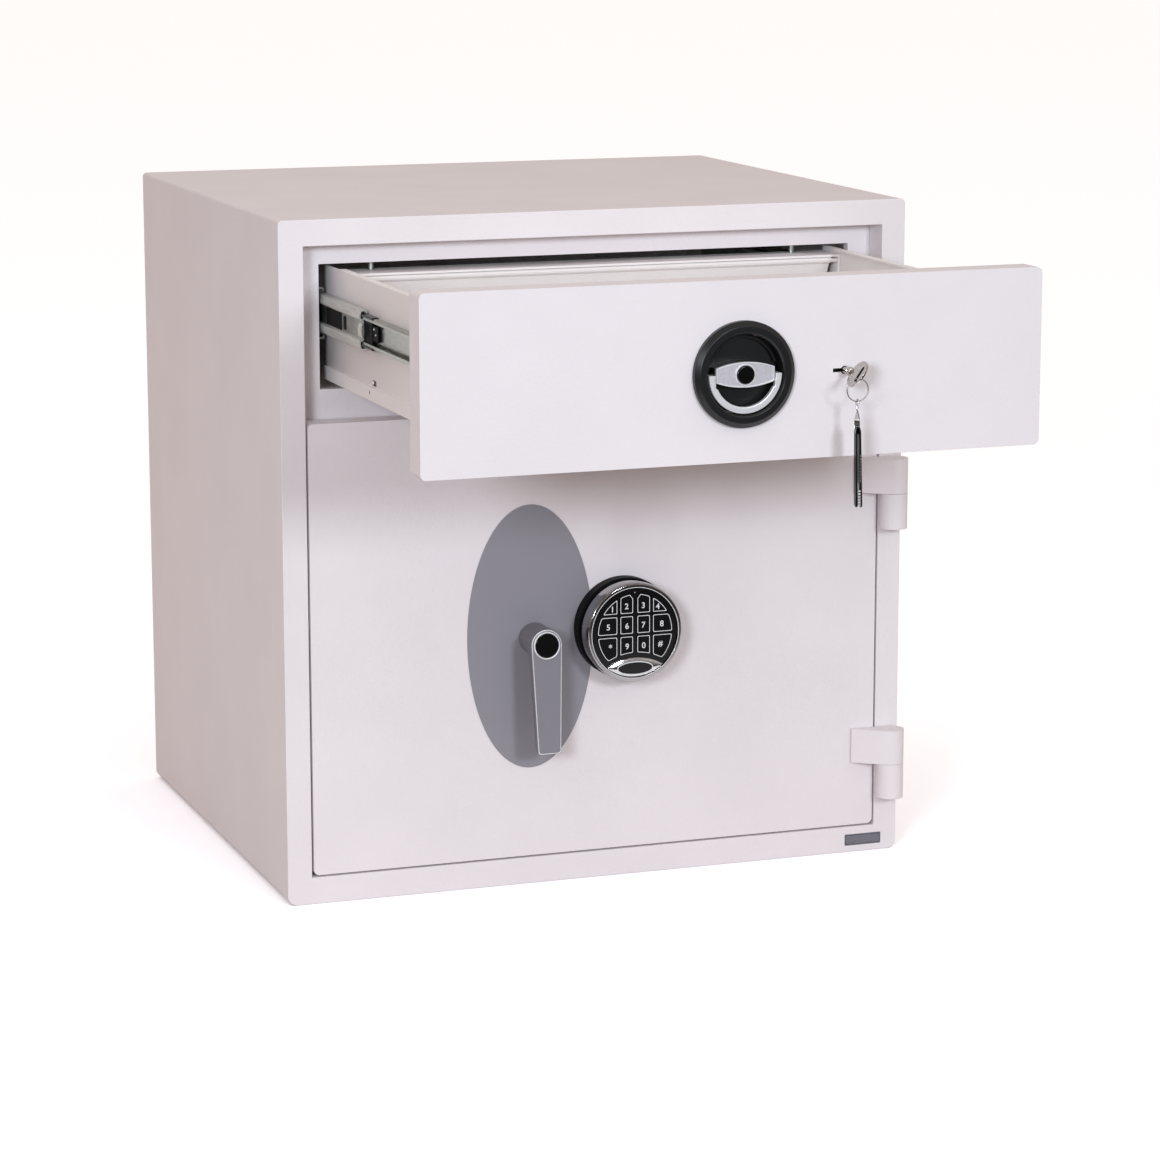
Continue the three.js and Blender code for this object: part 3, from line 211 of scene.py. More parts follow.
# %% [markdown]
# ## Painted casting, plastics and rubber
#
# The lever is a zinc casting with a silver-grey metallic lacquer: flakes too fine to see, so it
# takes a part-metallic shader with a fine tone noise. The bridge and the pull have a paler one over a
# blasted casting. The badge plate is a printed film in flat grey. Black mouldings have a fine
# spark-eroded grain, and the keys are silicone rubber, which is duller and softer at its edges.


# %% Lacquer, film, plastic and rubber
def moulded(name, base, roughness, grain_mm, depth_mm, **sockets):
    """A moulded or sprayed skin with a fine even grain and a slight mottle in tone."""
    material, tree, shader = new_material(name, Roughness=roughness, **sockets)
    grain = noise_in(tree, grain_mm)
    full = colour(base)
    deep = (*(0.86 * value for value in full[:3]), 1.0)
    tint(tree, shader, grain, deep, full)
    bump(tree, shader, grain, depth_mm)
    return material


SATIN = moulded("satin_lacquered_alloy", "#e9e8ea", 0.36, 0.9, 0.012, Metallic=0.5)
BLASTED = moulded("blasted_lacquered_alloy", "#cfcbd1", 0.42, 1.5, 0.08, Metallic=0.55)
LACQUER = moulded("silver_grey_lacquered_zinc", "#858288", 0.38, 0.5, 0.01, Metallic=0.45)
FILM = moulded("printed_grey_film", "#8d8a91", 0.45, 0.6, 0.006)
BLACK_ABS = moulded("black_abs_moulding", "#151516", 0.3, 0.45, 0.012, Specular_IOR_Level=0.35)
GLOSS_BLACK = moulded("gloss_black_abs", "#09090a", 0.14, 0.6, 0.002, Specular_IOR_Level=0.35)
RUBBER = moulded("black_silicone_rubber", "#070708", 0.26, 0.5, 0.006, Specular_IOR_Level=0.14)
MATT_BLACK = moulded("matt_black_abs", "#0c0c0d", 0.45, 0.45, 0.012, Specular_IOR_Level=0.05)
VINYL = moulded("black_vinyl_strap", "#0c0c0d", 0.3, 0.9, 0.03, Specular_IOR_Level=0.2)
FILLER = moulded("cast_mineral_filling", "#a49d94", 0.9, 2.0, 0.3)
# A grey for the strip between the strap's leaves, which is a painted highlight.
SHEEN_GREY = moulded("painted_strap_highlight", "#5f5e5f", 0.5, 0.4, 0.01)
WHITE_INK = moulded("white_screen_ink", "#e9e9ea", 0.5, 0.3, 0.002)
THREAD = moulded("pale_bonded_thread", "#cfcdc8", 0.6, 0.2, 0.02)
LENS = moulded("clear_lamp_lens", "#b9b6b2", 0.12, 0.4, 0.001)
PALE_NYLON = moulded("pale_nylon_buffer", "#cfcdc4", 0.4, 0.6, 0.006)

# %% [markdown]
# ## Shapes from formulas
#
# Most small pieces are turned, punched or rolled, so each is a grid of points: one direction runs
# round an outline, the other along a profile. `loft` turns such a grid into faces. Everything else
# makes outlines and rows for it.


# %% Grid, outline and profile helpers
def loft(rows, close_rows=False, caps=True, close_columns=True):
    """Faces of a grid: point j of row i joins its neighbours. Caps close the first and last row."""
    count, width = rows.shape[:2]
    i = np.arange(count if close_rows else count - 1)[:, None]
    j = np.arange(width if close_columns else width - 1)[None, :]
    after_i = (i + 1) % count
    after_j = (j + 1) % width
    corners = (i * width + j, i * width + after_j, after_i * width + after_j, after_i * width + j)
    faces = np.stack(np.broadcast_arrays(*corners), axis=-1).reshape(-1, 4).tolist()
    if caps and not close_rows:
        faces.append(list(range(width))[::-1])
        faces.append(list(range((count - 1) * width, count * width)))
    return rows.reshape(-1, 3), faces


def circle(radius, count=96):
    """Points at equal angles: radius times the cosine and sine of the angle."""
    angle = np.linspace(0, 2 * np.pi, count, endpoint=False)
    return radius * np.stack([np.cos(angle), np.sin(angle)], axis=1)


def eased(points, radius, steps=5, closed=True):
    """Rounds each corner of a line: a quadratic curve starts and ends one radius from the corner."""
    points = np.asarray(points, float)
    before = np.roll(points, 1, axis=0)
    after = np.roll(points, -1, axis=0)
    reach = np.broadcast_to(np.asarray(radius, float), len(points))[:, None]
    to_before, to_after = before - points, after - points
    far_before = np.linalg.norm(to_before, axis=1, keepdims=True)
    far_after = np.linalg.norm(to_after, axis=1, keepdims=True)
    reach = np.minimum(reach, 0.48 * np.minimum(far_before, far_after))
    start = points + to_before / far_before * reach
    end = points + to_after / far_after * reach
    if not closed:
        start[0] = end[0] = points[0]
        start[-1] = end[-1] = points[-1]
    s = np.linspace(0, 1, steps)[None, :, None]
    curve = (1 - s) ** 2 * start[:, None] + 2 * s * (1 - s) * points[:, None] + s ** 2 * end[:, None]
    return curve.reshape(-1, 2)


def rectangle(left, right, low, high, ease):
    """A rectangle with eased corners."""
    return eased([(left, low), (right, low), (right, high), (left, high)], ease)


def middled(half_width, half_height, ease):
    """A rectangle with eased corners about the origin."""
    return rectangle(-half_width, half_width, -half_height, half_height, ease)


def strip(line, thickness, radius):
    """Outline of bent sheet: the eased line, pushed half a thickness to each side."""
    line = eased(line, radius, closed=False)
    keep = np.r_[True, np.linalg.norm(np.diff(line, axis=0), axis=1) > 1e-6]
    line = line[keep]
    along = np.gradient(line, axis=0)
    along /= np.linalg.norm(along, axis=1, keepdims=True)
    side = np.stack([-along[:, 1], along[:, 0]], axis=1) * thickness / 2
    return np.vstack([line + side, (line - side)[::-1]])


def standing(outline, depth):
    """Puts a flat outline at a depth: its points lie in X and Z, and the depth runs back along Y."""
    return np.stack([outline[:, 0], np.full(len(outline), float(depth)), outline[:, 1]], axis=1)


def edged_rows(outline_at, front, back, edge, steps):
    """Rows of an outline from front to back, whose first and last rows turn a quarter-round edge."""
    angle = np.linspace(0, np.pi / 2, steps)
    inset, sunk = edge * (1 - np.sin(angle)), edge * (1 - np.cos(angle))
    rows = [standing(outline_at(i), front + s) for i, s in zip(inset, sunk)]
    return rows + [standing(outline_at(i), back - s) for i, s in zip(inset[::-1], sunk[::-1])]


def plate(outline_at, front, back, edge, steps=5):
    """A plate with quarter-round edges: outline_at(inset) gives its outline, drawn in by inset."""
    return loft(np.array(edged_rows(outline_at, front, back, edge, steps)))


def washer(outer_at, inner_at, front, back, edge, steps=4):
    """A plate with a hole: its profile goes round the outer edge, then back round the inner one."""
    outer = edged_rows(outer_at, front, back, edge, steps)
    inner = edged_rows(lambda inset: inner_at(-inset), front, back, edge, steps)
    return loft(np.array(outer + inner[::-1]), close_rows=True)


def turned(profile, ease=0.6, sides=128, closed=True):
    """A profile of radius and depth, eased and carried round the Y axis."""
    profile = eased(profile, ease, closed=closed)
    ring = circle(1.0, sides)
    x = profile[:, :1] * ring[None, :, 0]
    z = profile[:, :1] * ring[None, :, 1]
    y = np.broadcast_to(profile[:, 1:], x.shape)
    return loft(np.stack([x, y, z], axis=2), close_rows=closed, caps=False)


def rod(radius, low, high, ease, sides):
    """A round rod along the Y axis."""
    return turned([(0, low), (radius, low), (radius, high), (0, high)], ease, sides, closed=False)


def swept(angle, reach, depth, shift=(0, 0, 0)):
    """A section carried round part of a circle about the Y axis: its radius and depth at each angle."""
    row = np.broadcast_arrays(reach * np.cos(angle), depth, reach * np.sin(angle))
    return loft(np.stack(row, axis=2) + shift)


def drawn_out(outline, low, high, axis, edge=0.0):
    """An outline of two coordinates carried straight along an axis, with its ends drawn in a little."""
    centre = outline.mean(axis=0)
    ends = [(low, 1), (high, 1)]
    if edge:
        shrink = 1 - edge / np.abs(outline - centre).max()
        ends = [(low, shrink), (low + edge, 1), (high - edge, 1), (high, shrink)]
    rows = [np.insert(centre + (outline - centre) * scale, axis, place, axis=1) for place, scale in ends]
    return loft(np.array(rows))


def moved(grid, shift=(0, 0, 0), turn=0.0, axis="Y"):
    """Turns a shape by degrees about an axis through the origin, then shifts it."""
    matrix = np.array(Matrix.Rotation(math.radians(turn), 3, axis))
    return grid[0] @ matrix.T + np.asarray(shift, float), grid[1]


# %% [markdown]
# ## Making pieces
#
# `piece` joins grids into one mesh, merges its seams and turns its faces outwards. Its large faces
# weigh most in the shading, so that flats stay flat beside their rounded edges. `stand_in` makes a
# piece that is shown in place of a CAD solid. `dressed` copies a solid, joins its flat facets and
# rounds its edges, because a small round edge is what catches the light. `finish_node` only paints one.


# %% Piece builders
SHARP_ANGLE = math.radians(38)


def smooth(mesh):
    """Shades a mesh smooth and keeps the edges sharp where faces meet at more than an angle."""
    mesh.polygons.foreach_set("use_smooth", np.ones(len(mesh.polygons), bool))
    mesh.set_sharp_from_angle(angle=SHARP_ANGLE)


def placed(name, data):
    """Puts a new object in the scene."""
    obj = bpy.data.objects.new(name, data)
    bpy.context.scene.collection.objects.link(obj)
    return obj


def settle(name, mesh, body, material, stands_for=()):
    """An object with its material, its body and the nodes that it stands for."""
    obj = placed(name, mesh)
    mesh.materials.append(material)
    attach(obj, body)
    if stands_for:
        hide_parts(*stands_for)
    return obj


def piece(name, grids, body, material, shift=(0, 0, 0), stands_for=()):
    """One mesh from grids in millimetres, with doubles merged and faces turned outwards."""
    points, faces, start = [], [], 0
    for grid_points, grid_faces in grids:
        points.append(grid_points + np.asarray(shift, float))
        faces += [[start + corner for corner in face] for face in grid_faces]
        start += len(grid_points)
    mesh = bpy.data.meshes.new(name)
    mesh.from_pydata(np.vstack(points) * MM, [], faces)
    shape = bmesh.new()
    shape.from_mesh(mesh)
    bmesh.ops.remove_doubles(shape, verts=shape.verts, dist=0.001 * MM)
    bmesh.ops.dissolve_degenerate(shape, edges=shape.edges, dist=0.0005 * MM)
    bmesh.ops.recalc_face_normals(shape, faces=shape.faces)
    shape.to_mesh(mesh)
    shape.free()
    smooth(mesh)
    print(f"{name}: {len(mesh.polygons)} faces")
    obj = settle(name, mesh, body, material, stands_for)
    obj.modifiers.new("flat_faces_stay_flat", "WEIGHTED_NORMAL").keep_sharp = True


def node_body(node):
    """The body that a CAD node belongs to."""
    bodies = frame["record"]["behaviour"]["bodies"]
    return next(body for body, nodes in bodies.items() if node in nodes)


def stand_in(node, suffix, grids, material, place=(0, 0, 0)):
    """A piece that stands for a CAD node, with the node's body."""
    piece(f"{node}_{suffix}", grids, node_body(node), material, place, [node])


def dressed(node, material, edge, steps=3):
    """A CAD solid's copy with merged facets and rounded edges, which stands for the solid."""
    name = f"{node}_dressed"
    mesh = bpy.data.meshes.new(name)
    shape = bmesh.new()
    shape.from_mesh(frame["nodes"][node].data)
    bmesh.ops.remove_doubles(shape, verts=shape.verts, dist=0.002 * MM)
    bmesh.ops.dissolve_limit(shape, angle_limit=math.radians(1), verts=shape.verts, edges=shape.edges)
    shape.to_mesh(mesh)
    shape.free()
    smooth(mesh)
    obj = settle(name, mesh, node_body(node), material, [node])
    rounding = obj.modifiers.new("rounded_edges", "BEVEL")
    rounding.width = edge * MM
    rounding.segments = steps
    rounding.limit_method = "ANGLE"
    rounding.angle_limit = SHARP_ANGLE
    rounding.harden_normals = True


def finish_node(node, material):
    """Paints a CAD solid that is shown as it is."""
    data = frame["nodes"][node].data
    data.materials.clear()
    data.materials.append(material)


# %% [markdown]
# ## Cabinet
#
# The outer box is 3 mm sheet, folded and welded, with a border turned in round the front and a
# rebate behind it. Its bottom edges are bent to a wide radius, and the others are dressed by grinding
# and paint. The border, the frame behind it and the liner only need their edges eased.

# %% Casing, frame, liner and shelf
dressed("outer_casing", OUTER_PAINT, 1.2, 4)
dressed("front_frame", OUTER_PAINT, 0.6)
dressed("inner_liner", INNER_PAINT, 0.6)
dressed("drawer_bay_floor", INNER_PAINT, 0.5)
finish_node("barrier_fill", FILLER)
for level in ("lower", "upper"):
    dressed(f"hinge_lug_{level}", OUTER_PAINT, 0.7)
    dressed(f"hinge_strap_{level}", OUTER_PAINT, 0.9)

# %% [markdown]
# ## Label
#
# A foil label is stuck on the border under the lower hinge. On this part it is left bare.
# It is 0.15 mm thick, with corners of 1 mm, and a fine line printed round it.

# %% Bare foil label
front_y = cad_box("outer_casing")[0][1]
label_place = (261.5, front_y, 11.7)


def label_outline(inset):
    """A rectangle 36.5 mm wide and 10.8 mm high, drawn in by inset."""
    return middled(18.25 - inset, 5.4 - inset, 1.0)


piece("blank_label", [plate(label_outline, -0.15, 0.02, 0.05)],
      "cabinet", FOIL, label_place)
label_line = washer(lambda i: label_outline(1.0 + i), lambda i: label_outline(1.35 + i), -0.18, -0.1, 0.01)
piece("blank_label_line", [label_line], "cabinet", BLACK_ABS, label_place)

# %% [markdown]
# ## Drawer box
#
# The drawer front is a pan of folded sheet, and the tray is riveted behind it. Along the foot of each
# side runs a folded strip with a small pierced hole, and above it a window with a pressed lug. The tray
# copies the CAD solid with its edges eased. The marks are small pieces laid on its face, because a hole
# through thin sheet shows only as the shade inside it and the raised edge round it. The hole and the
# window are black pieces, which are painted shade.

# %% Drawer front, tray and cross member
dressed("drawer_front", OUTER_PAINT, 1.2, 4)
dressed("drawer_tray", INNER_PAINT, 0.4, 2)
dressed("rear_header", INNER_PAINT, 0.35, 2)
finish_node("drawer_lock_case", ZINC)
dressed("drawer_lock_arm", STEEL, 0.4)
dressed("drawer_latch_arm", STEEL, 0.5)

sleeve_radius, pin_x = 2.6, 200.0
pin_y = cad_box("rear_header")[0][1] + 28.0
plate_top = cad_box("drawer_tray")[1][2] - 5.0
sleeve = turned([(0, 0), (sleeve_radius, 0), (sleeve_radius, 15.9), (sleeve_radius - 0.5, 16.1), (0, 16.1)],
                0.3, 40, closed=False)
for side, word in SIDES:
    piece(f"stop_pin_sleeve_{word}", [moved(sleeve, turn=90, axis="X")], "drawer", ZINC,
          (side * pin_x, pin_y, plate_top))

# %% Pierced marks near the foot of the tray
strip_out = -cad_box("drawer_tray")[0][0]
wall_out = strip_out - 2.2
pierced_hole = rod(1.5, -0.12, 0.3, 0.1, 32)
hole_edge = turned([(1.5, -0.1), (2.3, -0.35), (2.7, 0.3), (1.5, 0.3)], 0.15, 32)
window = plate(lambda i: middled(5.5 - i, 2.3 - i, 1.0), -0.12, 0.3, 0.05)
lug = plate(lambda i: middled(2.4 - i, 1.4 - i, 0.8), -1.1, 0.0, 0.4)
# The black hole and window are painted shade for the dark behind the sheet.
tray_marks = (("strip_hole", pierced_hole, BLACK_ABS, strip_out, -338.0, 471.0),
              ("strip_hole_edge", hole_edge, INNER_PAINT, strip_out, -338.0, 471.0),
              ("slide_window", window, BLACK_ABS, wall_out, -345.0, 479.5),
              ("slide_lug", lug, INNER_PAINT, wall_out, -342.5, 479.8))
for side, word in SIDES:
    for name, grid, finish, out, y, z in tray_marks:
        piece(f"{name}_{word}", [moved(grid, turn=90 * side, axis="Z")], "drawer", finish,
              (side * out, y, z))

# %% [markdown]
# ## Slides
#
# A ball slide is three rolled channels, one inside the other, with rows of balls between them.
# Each channel is one bent line with the thickness of its sheet, drawn out along the travel. Its lower
# half mirrors the upper one, so only that is written down. The middle channel has its web set in, so
# that its two raceways stand proud, as rolled steel does.


# %% Rolled channels of the slides
slide_z = np.mean([corner[2] for corner in cad_box("drawer_slide_left")])
sheet_thickness, bend_radius = 1.3, 0.9
middle_setback, bracket_length = 5.0, 34.0
slide_halves = {
    "drawer": [(245.2, 9.6), (245.2, 12.4), (239.4, 12.4)],
    "middle": [(241.9, 14.4), (241.9, 16.5), (246.9, 16.5), (247.8, 12.5), (247.8, 9.3), (244.9, 8.8)],
    "cabinet": [(244.4, 19.8), (244.4, 22.0), (250.2, 22.0)],
}


def on_side(outline, sign, way=1):
    """Mirrors an outline to the left or right, and up or down, about the height of the slides."""
    return outline * (sign, way) + (0, slide_z)


def slide_member(kind, sign, word):
    """One channel, drawn out along Y. The one on the cabinet stands on three brackets."""
    node = f"{kind}_slide_{word}"
    low, high = cad_box(node)
    half = slide_halves[kind]
    outline = strip(half + [(x, -z) for x, z in half[::-1]], sheet_thickness, bend_radius)
    start = low[1] + (middle_setback if kind == "middle" else 0)
    grids = [drawn_out(on_side(outline, sign), start, high[1], 1)]
    if kind == "cabinet":
        bracket = on_side(rectangle(250.6, 267.4, -13, 13, 1.0), sign)
        for foot in np.linspace(low[1], high[1] - bracket_length, 3):
            grids.append(drawn_out(bracket, foot, foot + bracket_length, 1))
    finish = MATT_ZINC if kind == "middle" else ZINC
    stand_in(node, "rolled", grids, finish)


for kind in slide_halves:
    for sign, word in SIDES:
        slide_member(kind, sign, word)

# %% [markdown]
# ## Ball cages
#
# Black cages keep the balls apart, above and below the drawer's channel, in which sits a black release
# lever. Real cages roll along at half the speed of the drawer. Here they ride with the drawer, thin
# enough to pass inside the middle channel when it closes. That channel has a pale buffer at its front
# end. On its web lies a plate of darker zinc, partly the zinc's own tone and partly painted shade of the
# recessed web, and on that a black slot and a longer black patch, which are painted shade. Only the
# front balls show, so there are ten a row, each a grid of two angles.


# %% Balls, cages, levers, buffers, and webs with painted shade
def ball(centre, radius, steps=12):
    """A sphere: rings whose radius is the sine of the polar angle."""
    polar = np.linspace(0, np.pi, steps)[:, None]
    round_angle = np.linspace(0, 2 * np.pi, 2 * steps, endpoint=False)[None, :]
    x = radius * np.sin(polar) * np.cos(round_angle)
    y = radius * np.sin(polar) * np.sin(round_angle)
    z = np.broadcast_to(radius * np.cos(polar), x.shape)
    return loft(np.stack([x, y, z], axis=2) + centre, caps=False)


middle_front = cad_box("middle_slide_left")[0][1]
ball_rows, first_ball, ball_pitch, balls_in_row = 14.2, 16, 6.0, 10


def along_slide(outline, sign, start, end, edge=0.0, way=1):
    """An outline at the slide of one side, drawn out between two places counted from the middle's front."""
    return drawn_out(on_side(outline, sign, way), middle_front + start, middle_front + end, 1, edge)


def at_slide(sign, out, place, rise, radius):
    """A ball in the slide of one side, at a place along it and a rise from its middle."""
    return ball((sign * out, middle_front + place, slide_z + rise), radius)


cage_outline = strip([(240.4, 13.6), (246.2, 13.6), (246.4, 12.0)], 0.7, 0.5)
buffer_outline = strip([(246.8, 5.6), (248.2, 4.2), (248.6, 0), (248.2, -4.2), (246.8, -5.6)], 1.0, 2.0)
web_end = cad_box("middle_slide_left")[1][1] - middle_front - 0.5
# A slot and a longer patch, both drawn black on the web as painted shade.
web_slot_and_shadow = (middled(4.5, 6.0, 2.0) + (middle_front + 57, slide_z),
             middled(24.0, 7.6, 2.0) + (middle_front + 90, slide_z))
for sign, word in SIDES:
    balls = [at_slide(sign, 243.6, first_ball + ball_pitch * i, way * ball_rows, 1.0)
             for i in range(balls_in_row) for way in (-1, 1)]
    cages = [along_slide(cage_outline, sign, -26, 82, way=way) for way in (-1, 1)]
    lever = [along_slide(rectangle(240.3, 243.9, -11.4, 11.4, 0.6), sign, -18, 9, 0.8),
             along_slide(rectangle(240.3, 243.2, -6.5, 6.5, 0.6), sign, -32, -17, 0.8)]
    catches = [at_slide(sign, 243.0, -22.0, 4.0, 1.2), at_slide(sign, 243.0, -26.5, -0.5, 1.0)]
    slide_buffer = along_slide(buffer_outline, sign, 0.3, 8.0, 0.5)
    # The web plate is darker zinc, partly its own tone and partly painted shade of the recess.
    web = along_slide(rectangle(245.4, 245.7, -8.0, 8.0, 0.1), sign, 5.5, web_end)
    black_shade_pieces = [drawn_out(slot, *sorted((sign * 245.5, sign * 245.85)), 0) for slot in web_slot_and_shadow]
    for name, grids, body, finish, slot in (
            ("slide_balls", balls, "drawer", CHROME, "zinc"),
            ("ball_cage", cages, "drawer", BLACK_ABS, "zinc"),
            ("slide_lever", lever, "drawer", MATT_BLACK, "black_plastic"),
            ("slide_catch", catches, "drawer", ZINC, "zinc"),
            ("slide_buffer", [slide_buffer], "slide_middles", PALE_NYLON, "zinc"),
            ("slide_web", [web], "slide_middles", ZINC, "zinc"),
            ("painted_shade_on_web", black_shade_pieces, "slide_middles", MATT_BLACK, "zinc")):
        piece(f"{name}_{word}", grids, body, finish)

# %% [markdown]
# ## Rear flap
#
# The flap that tips the deposit into the vault is thin sheet, rolled round a rod at its top and folded
# at its foot. Its section is one bent line, leaned back to the angle at which the CAD solid hangs.

# %% Flap
flap_lean, flap_half, roll_radius = 27.0, 228.5, 2.3
roll = [(roll_radius * math.cos(a), roll_radius * math.sin(a)) for a in np.linspace(-2.2, 2.6, 10)[::-1]]
flap_section = strip([*roll[:-1], (2.3, -3.0), (2.3, -84.6), (8.0, -84.6)], 1.4, 0.8)
flap_sheet = moved(drawn_out(flap_section, -flap_half, flap_half, 0), turn=flap_lean, axis="X")
flap_rod = moved(rod(1.9, -236.2, 236.2, 0.3, 32), turn=-90, axis="Z")
stand_in("rear_flap", "folded", [flap_sheet, flap_rod], INNER_PAINT, joint_place("flap_hinge"))

# %% [markdown]
# ## Drawer handle
#
# A black moulded bezel sits in the drawer front. In it turns a dish that carries a silver eye-shaped
# bridge and a half-ring pull. The bezel, dish floor and boss are turned shapes. The eye is two shallow
# arcs, and the same outline drawn in by small steps gives the plinth, the bridge and its raised rim.
# The pull's section thins from the inside near its ends, by a smooth step, so that it clears the bridge.

# %% Handle outlines
handle_place = joint_place("drawer_handle_turn")
EYE_HALF, EYE_MIDDLE, EYE_END = 25.4, 10.4, 5.9


def eye_outline(inset, count=28):
    """Two arcs that bulge to the middle height and meet short upright ends."""
    half, middle = EYE_HALF - inset, EYE_MIDDLE - inset
    end = EYE_END - inset * EYE_END / EYE_MIDDLE
    rise = middle - end
    radius = (half ** 2 + rise ** 2) / (2 * rise)
    x = np.linspace(half, -half, count)
    z = middle - radius + np.sqrt(radius ** 2 - x ** 2)
    return np.vstack([np.stack([x, z], 1), np.stack([-x, -z], 1)])


def circle_like_eye(radius, count=28):
    """A circle with as many points as the eye, started where the eye starts."""
    start = math.atan2(EYE_END, EYE_HALF)
    top = np.linspace(start, math.pi - start, count)
    angle = np.concatenate([top, top + math.pi])
    return radius * np.stack([np.cos(angle), np.sin(angle)], axis=1)


# %% Bezel and dish
bezel = turned([(33, 10), (35.6, 10), (35.6, 0), (43.7, 0),
                (43.7, -5), (39.6, -8), (34.6, -8), (33, -6.4)], 0.35)
stand_in("handle_bezel", "moulded", [bezel], BLACK_ABS, handle_place)

floor_y = 6.0
dish_floor = rod(32.5, floor_y, floor_y + 4, 0.4, 128)
step_section = eased([(29.2, 0.5), (29.2, -3.5), (32.5, -3.5), (32.5, 0.5)], 0.7)
step = swept(np.radians(np.linspace(16, 164, 60))[:, None], step_section[:, 0], floor_y + step_section[:, 1])
plinth = plate(eye_outline, floor_y - 8.4, floor_y + 1, 0.8)
shaft = rod(7, 9, 48, 0.4, 48)
stand_in("handle_dish", "moulded", [dish_floor, step, plinth, shaft], BLACK_ABS, handle_place)
boss = turned([(0, -7.6), (7.0, -7.9), (7.8, -7.0), (7.8, floor_y), (0, floor_y)], 0.5, 72, closed=False)
piece("handle_boss_cap", [boss], "drawer_handle", GLOSS_BLACK, handle_place)

# %% Bridge and its raised rim
bridge_front, bridge_back, bridge_sunk = -6.7, -2.7, 0.9
bridge_plate = washer(lambda i: eye_outline(0.05 + i), lambda i: circle_like_eye(8.15 + i),
                      bridge_front + bridge_sunk, bridge_back, 0.3)
rim = washer(eye_outline, lambda i: eye_outline(1.25 + i), bridge_front, bridge_back - 0.2, 0.3)
collar = washer(lambda i: circle_like_eye(9.1 - i), lambda i: circle_like_eye(8.1 + i),
                bridge_front - 0.03, bridge_back - 0.2, 0.3)
stand_in("handle_bridge", "cast", [bridge_plate], BLASTED, handle_place)
piece("handle_bridge_rim", [rim, collar], "drawer_handle", SATIN, handle_place)

# %% Bail
bail_inner, bail_outer, bail_clear_x, bail_clear_z = 26.3, 31.8, 25.7, 10.0
bail_angle = np.radians(np.linspace(180, 360, 120))[:, None]
bail_section = rectangle(bail_inner, bail_outer, -7.1, -2.9, 0.9)
bail_share = (bail_section[:, 0] - bail_inner) / (bail_outer - bail_inner)
near_ends = 1 / (1 + np.exp((np.abs(bail_outer * np.sin(bail_angle)) - bail_clear_z - 2.2) / 0.35))
inner_edge = bail_inner + near_ends * np.maximum(bail_clear_x / np.abs(np.cos(bail_angle)) - bail_inner, 0)
bail_reach = inner_edge + (bail_outer - inner_edge) * bail_share
bail_grids, bail_pivots = [swept(bail_angle, bail_reach, bail_section[:, 1])], []
for side in (-1, 1):
    lug = rectangle(26.5, 31.3, -2.8, 0.3, 0.5) * (side, 1)
    bail_grids.append(plate(lambda i, lug=lug: lug * (1 - i / 20), -6.9, 4.2, 0.4))
    pivot = moved(rod(1.8, 22.5, 27.5, 0.2, 24), turn=-90 * side, axis="Z")
    bail_pivots.append(moved(pivot, (0, 1.5, 0)))
stand_in("handle_bail", "cast", bail_grids, SATIN, handle_place)
piece("handle_bail_pivots", bail_pivots, "bail", BLACK_ABS, handle_place)

# %% [markdown]
# ## Key, ring and fob
#
# The key is nickel-plated brass: a round bow whose slot is filled by a black plate, which is painted
# shade, a stepped barrel and a bit. From its wire ring hang a twisted link, which is a flat section that
# turns as it goes down, and a doubled strap with a grey strip between its leaves, which is a painted
# highlight, a short row of stitches and a ribbed metal end. The strap is turned by 18 degrees, as the
# CAD solid is, and leans by about one degree.

# %% Key
key_place = joint_place("key_turn")
bow_out, bow_radius, bow_turn = 26.0, 12.0, 35.0


def slot_outline(extra, count=96):
    """A slot with round ends: a circle widened by an extra and pulled apart by 5.2 mm each way."""
    round_part = circle(2.3 + extra, count)
    return round_part + np.stack([np.full(count, -5.0), 5.2 * np.sign(round_part[:, 1] + 1e-9)], axis=1)


def on_bow(grid):
    """Stands a flat grid on the key's axis, at the bow."""
    points, faces = moved(grid, turn=90, axis="Z")
    return points * (-1, 1, 1) + (0, -bow_out, 0), faces


bow = on_bow(washer(lambda i: circle(bow_radius - i), slot_outline, -0.9, 0.9, 0.3))
# The black plate in the bow's slot is painted shade for the open slot.
slot_shade = on_bow(plate(lambda i: slot_outline(-0.05 - i), -0.6, 0.6, 0.05))
barrel = turned([(0, -15.5), (3.4, -15.2), (3.4, -11.2), (4.0, -11.0), (4.0, -8.2), (2.8, -8.0), (2.8, 25.5),
                 (0, 26)], 0.35, 56, closed=False)
bit = plate(lambda i: rectangle(-0.9, 0.9, 0, 9, 0.2) * (1 - i / 8), 14, 24, 0.2)
key_grids = [moved(grid, turn=bow_turn) for grid in (bow, barrel, bit)]
stand_in("drawer_key", "cut", key_grids, NICKEL, key_place)
piece("key_slot_painted_shade", [moved(slot_shade, turn=bow_turn)], "key", MATT_BLACK, key_place)

# %% Ring, link and strap
fob_place = joint_place("fob_swing")
ring_radius = 9.3


def hoop(radius, wire, sides=72, around=16):
    """A torus round the Y axis: a small circle carried round a large one."""
    big = circle(1.0, sides)[:, None, :]
    small = circle(wire, around)[None]
    reach = radius + small[..., 0]
    x, z = reach * big[..., 0], reach * big[..., 1]
    y = np.broadcast_to(small[..., 1], x.shape)
    return loft(np.stack([x, y, z], axis=2), close_rows=True)


stand_in("key_ring", "wire", [moved(hoop(ring_radius, 0.5), (0, 0, -ring_radius))],
         STEEL, joint_place("ring_turn"))

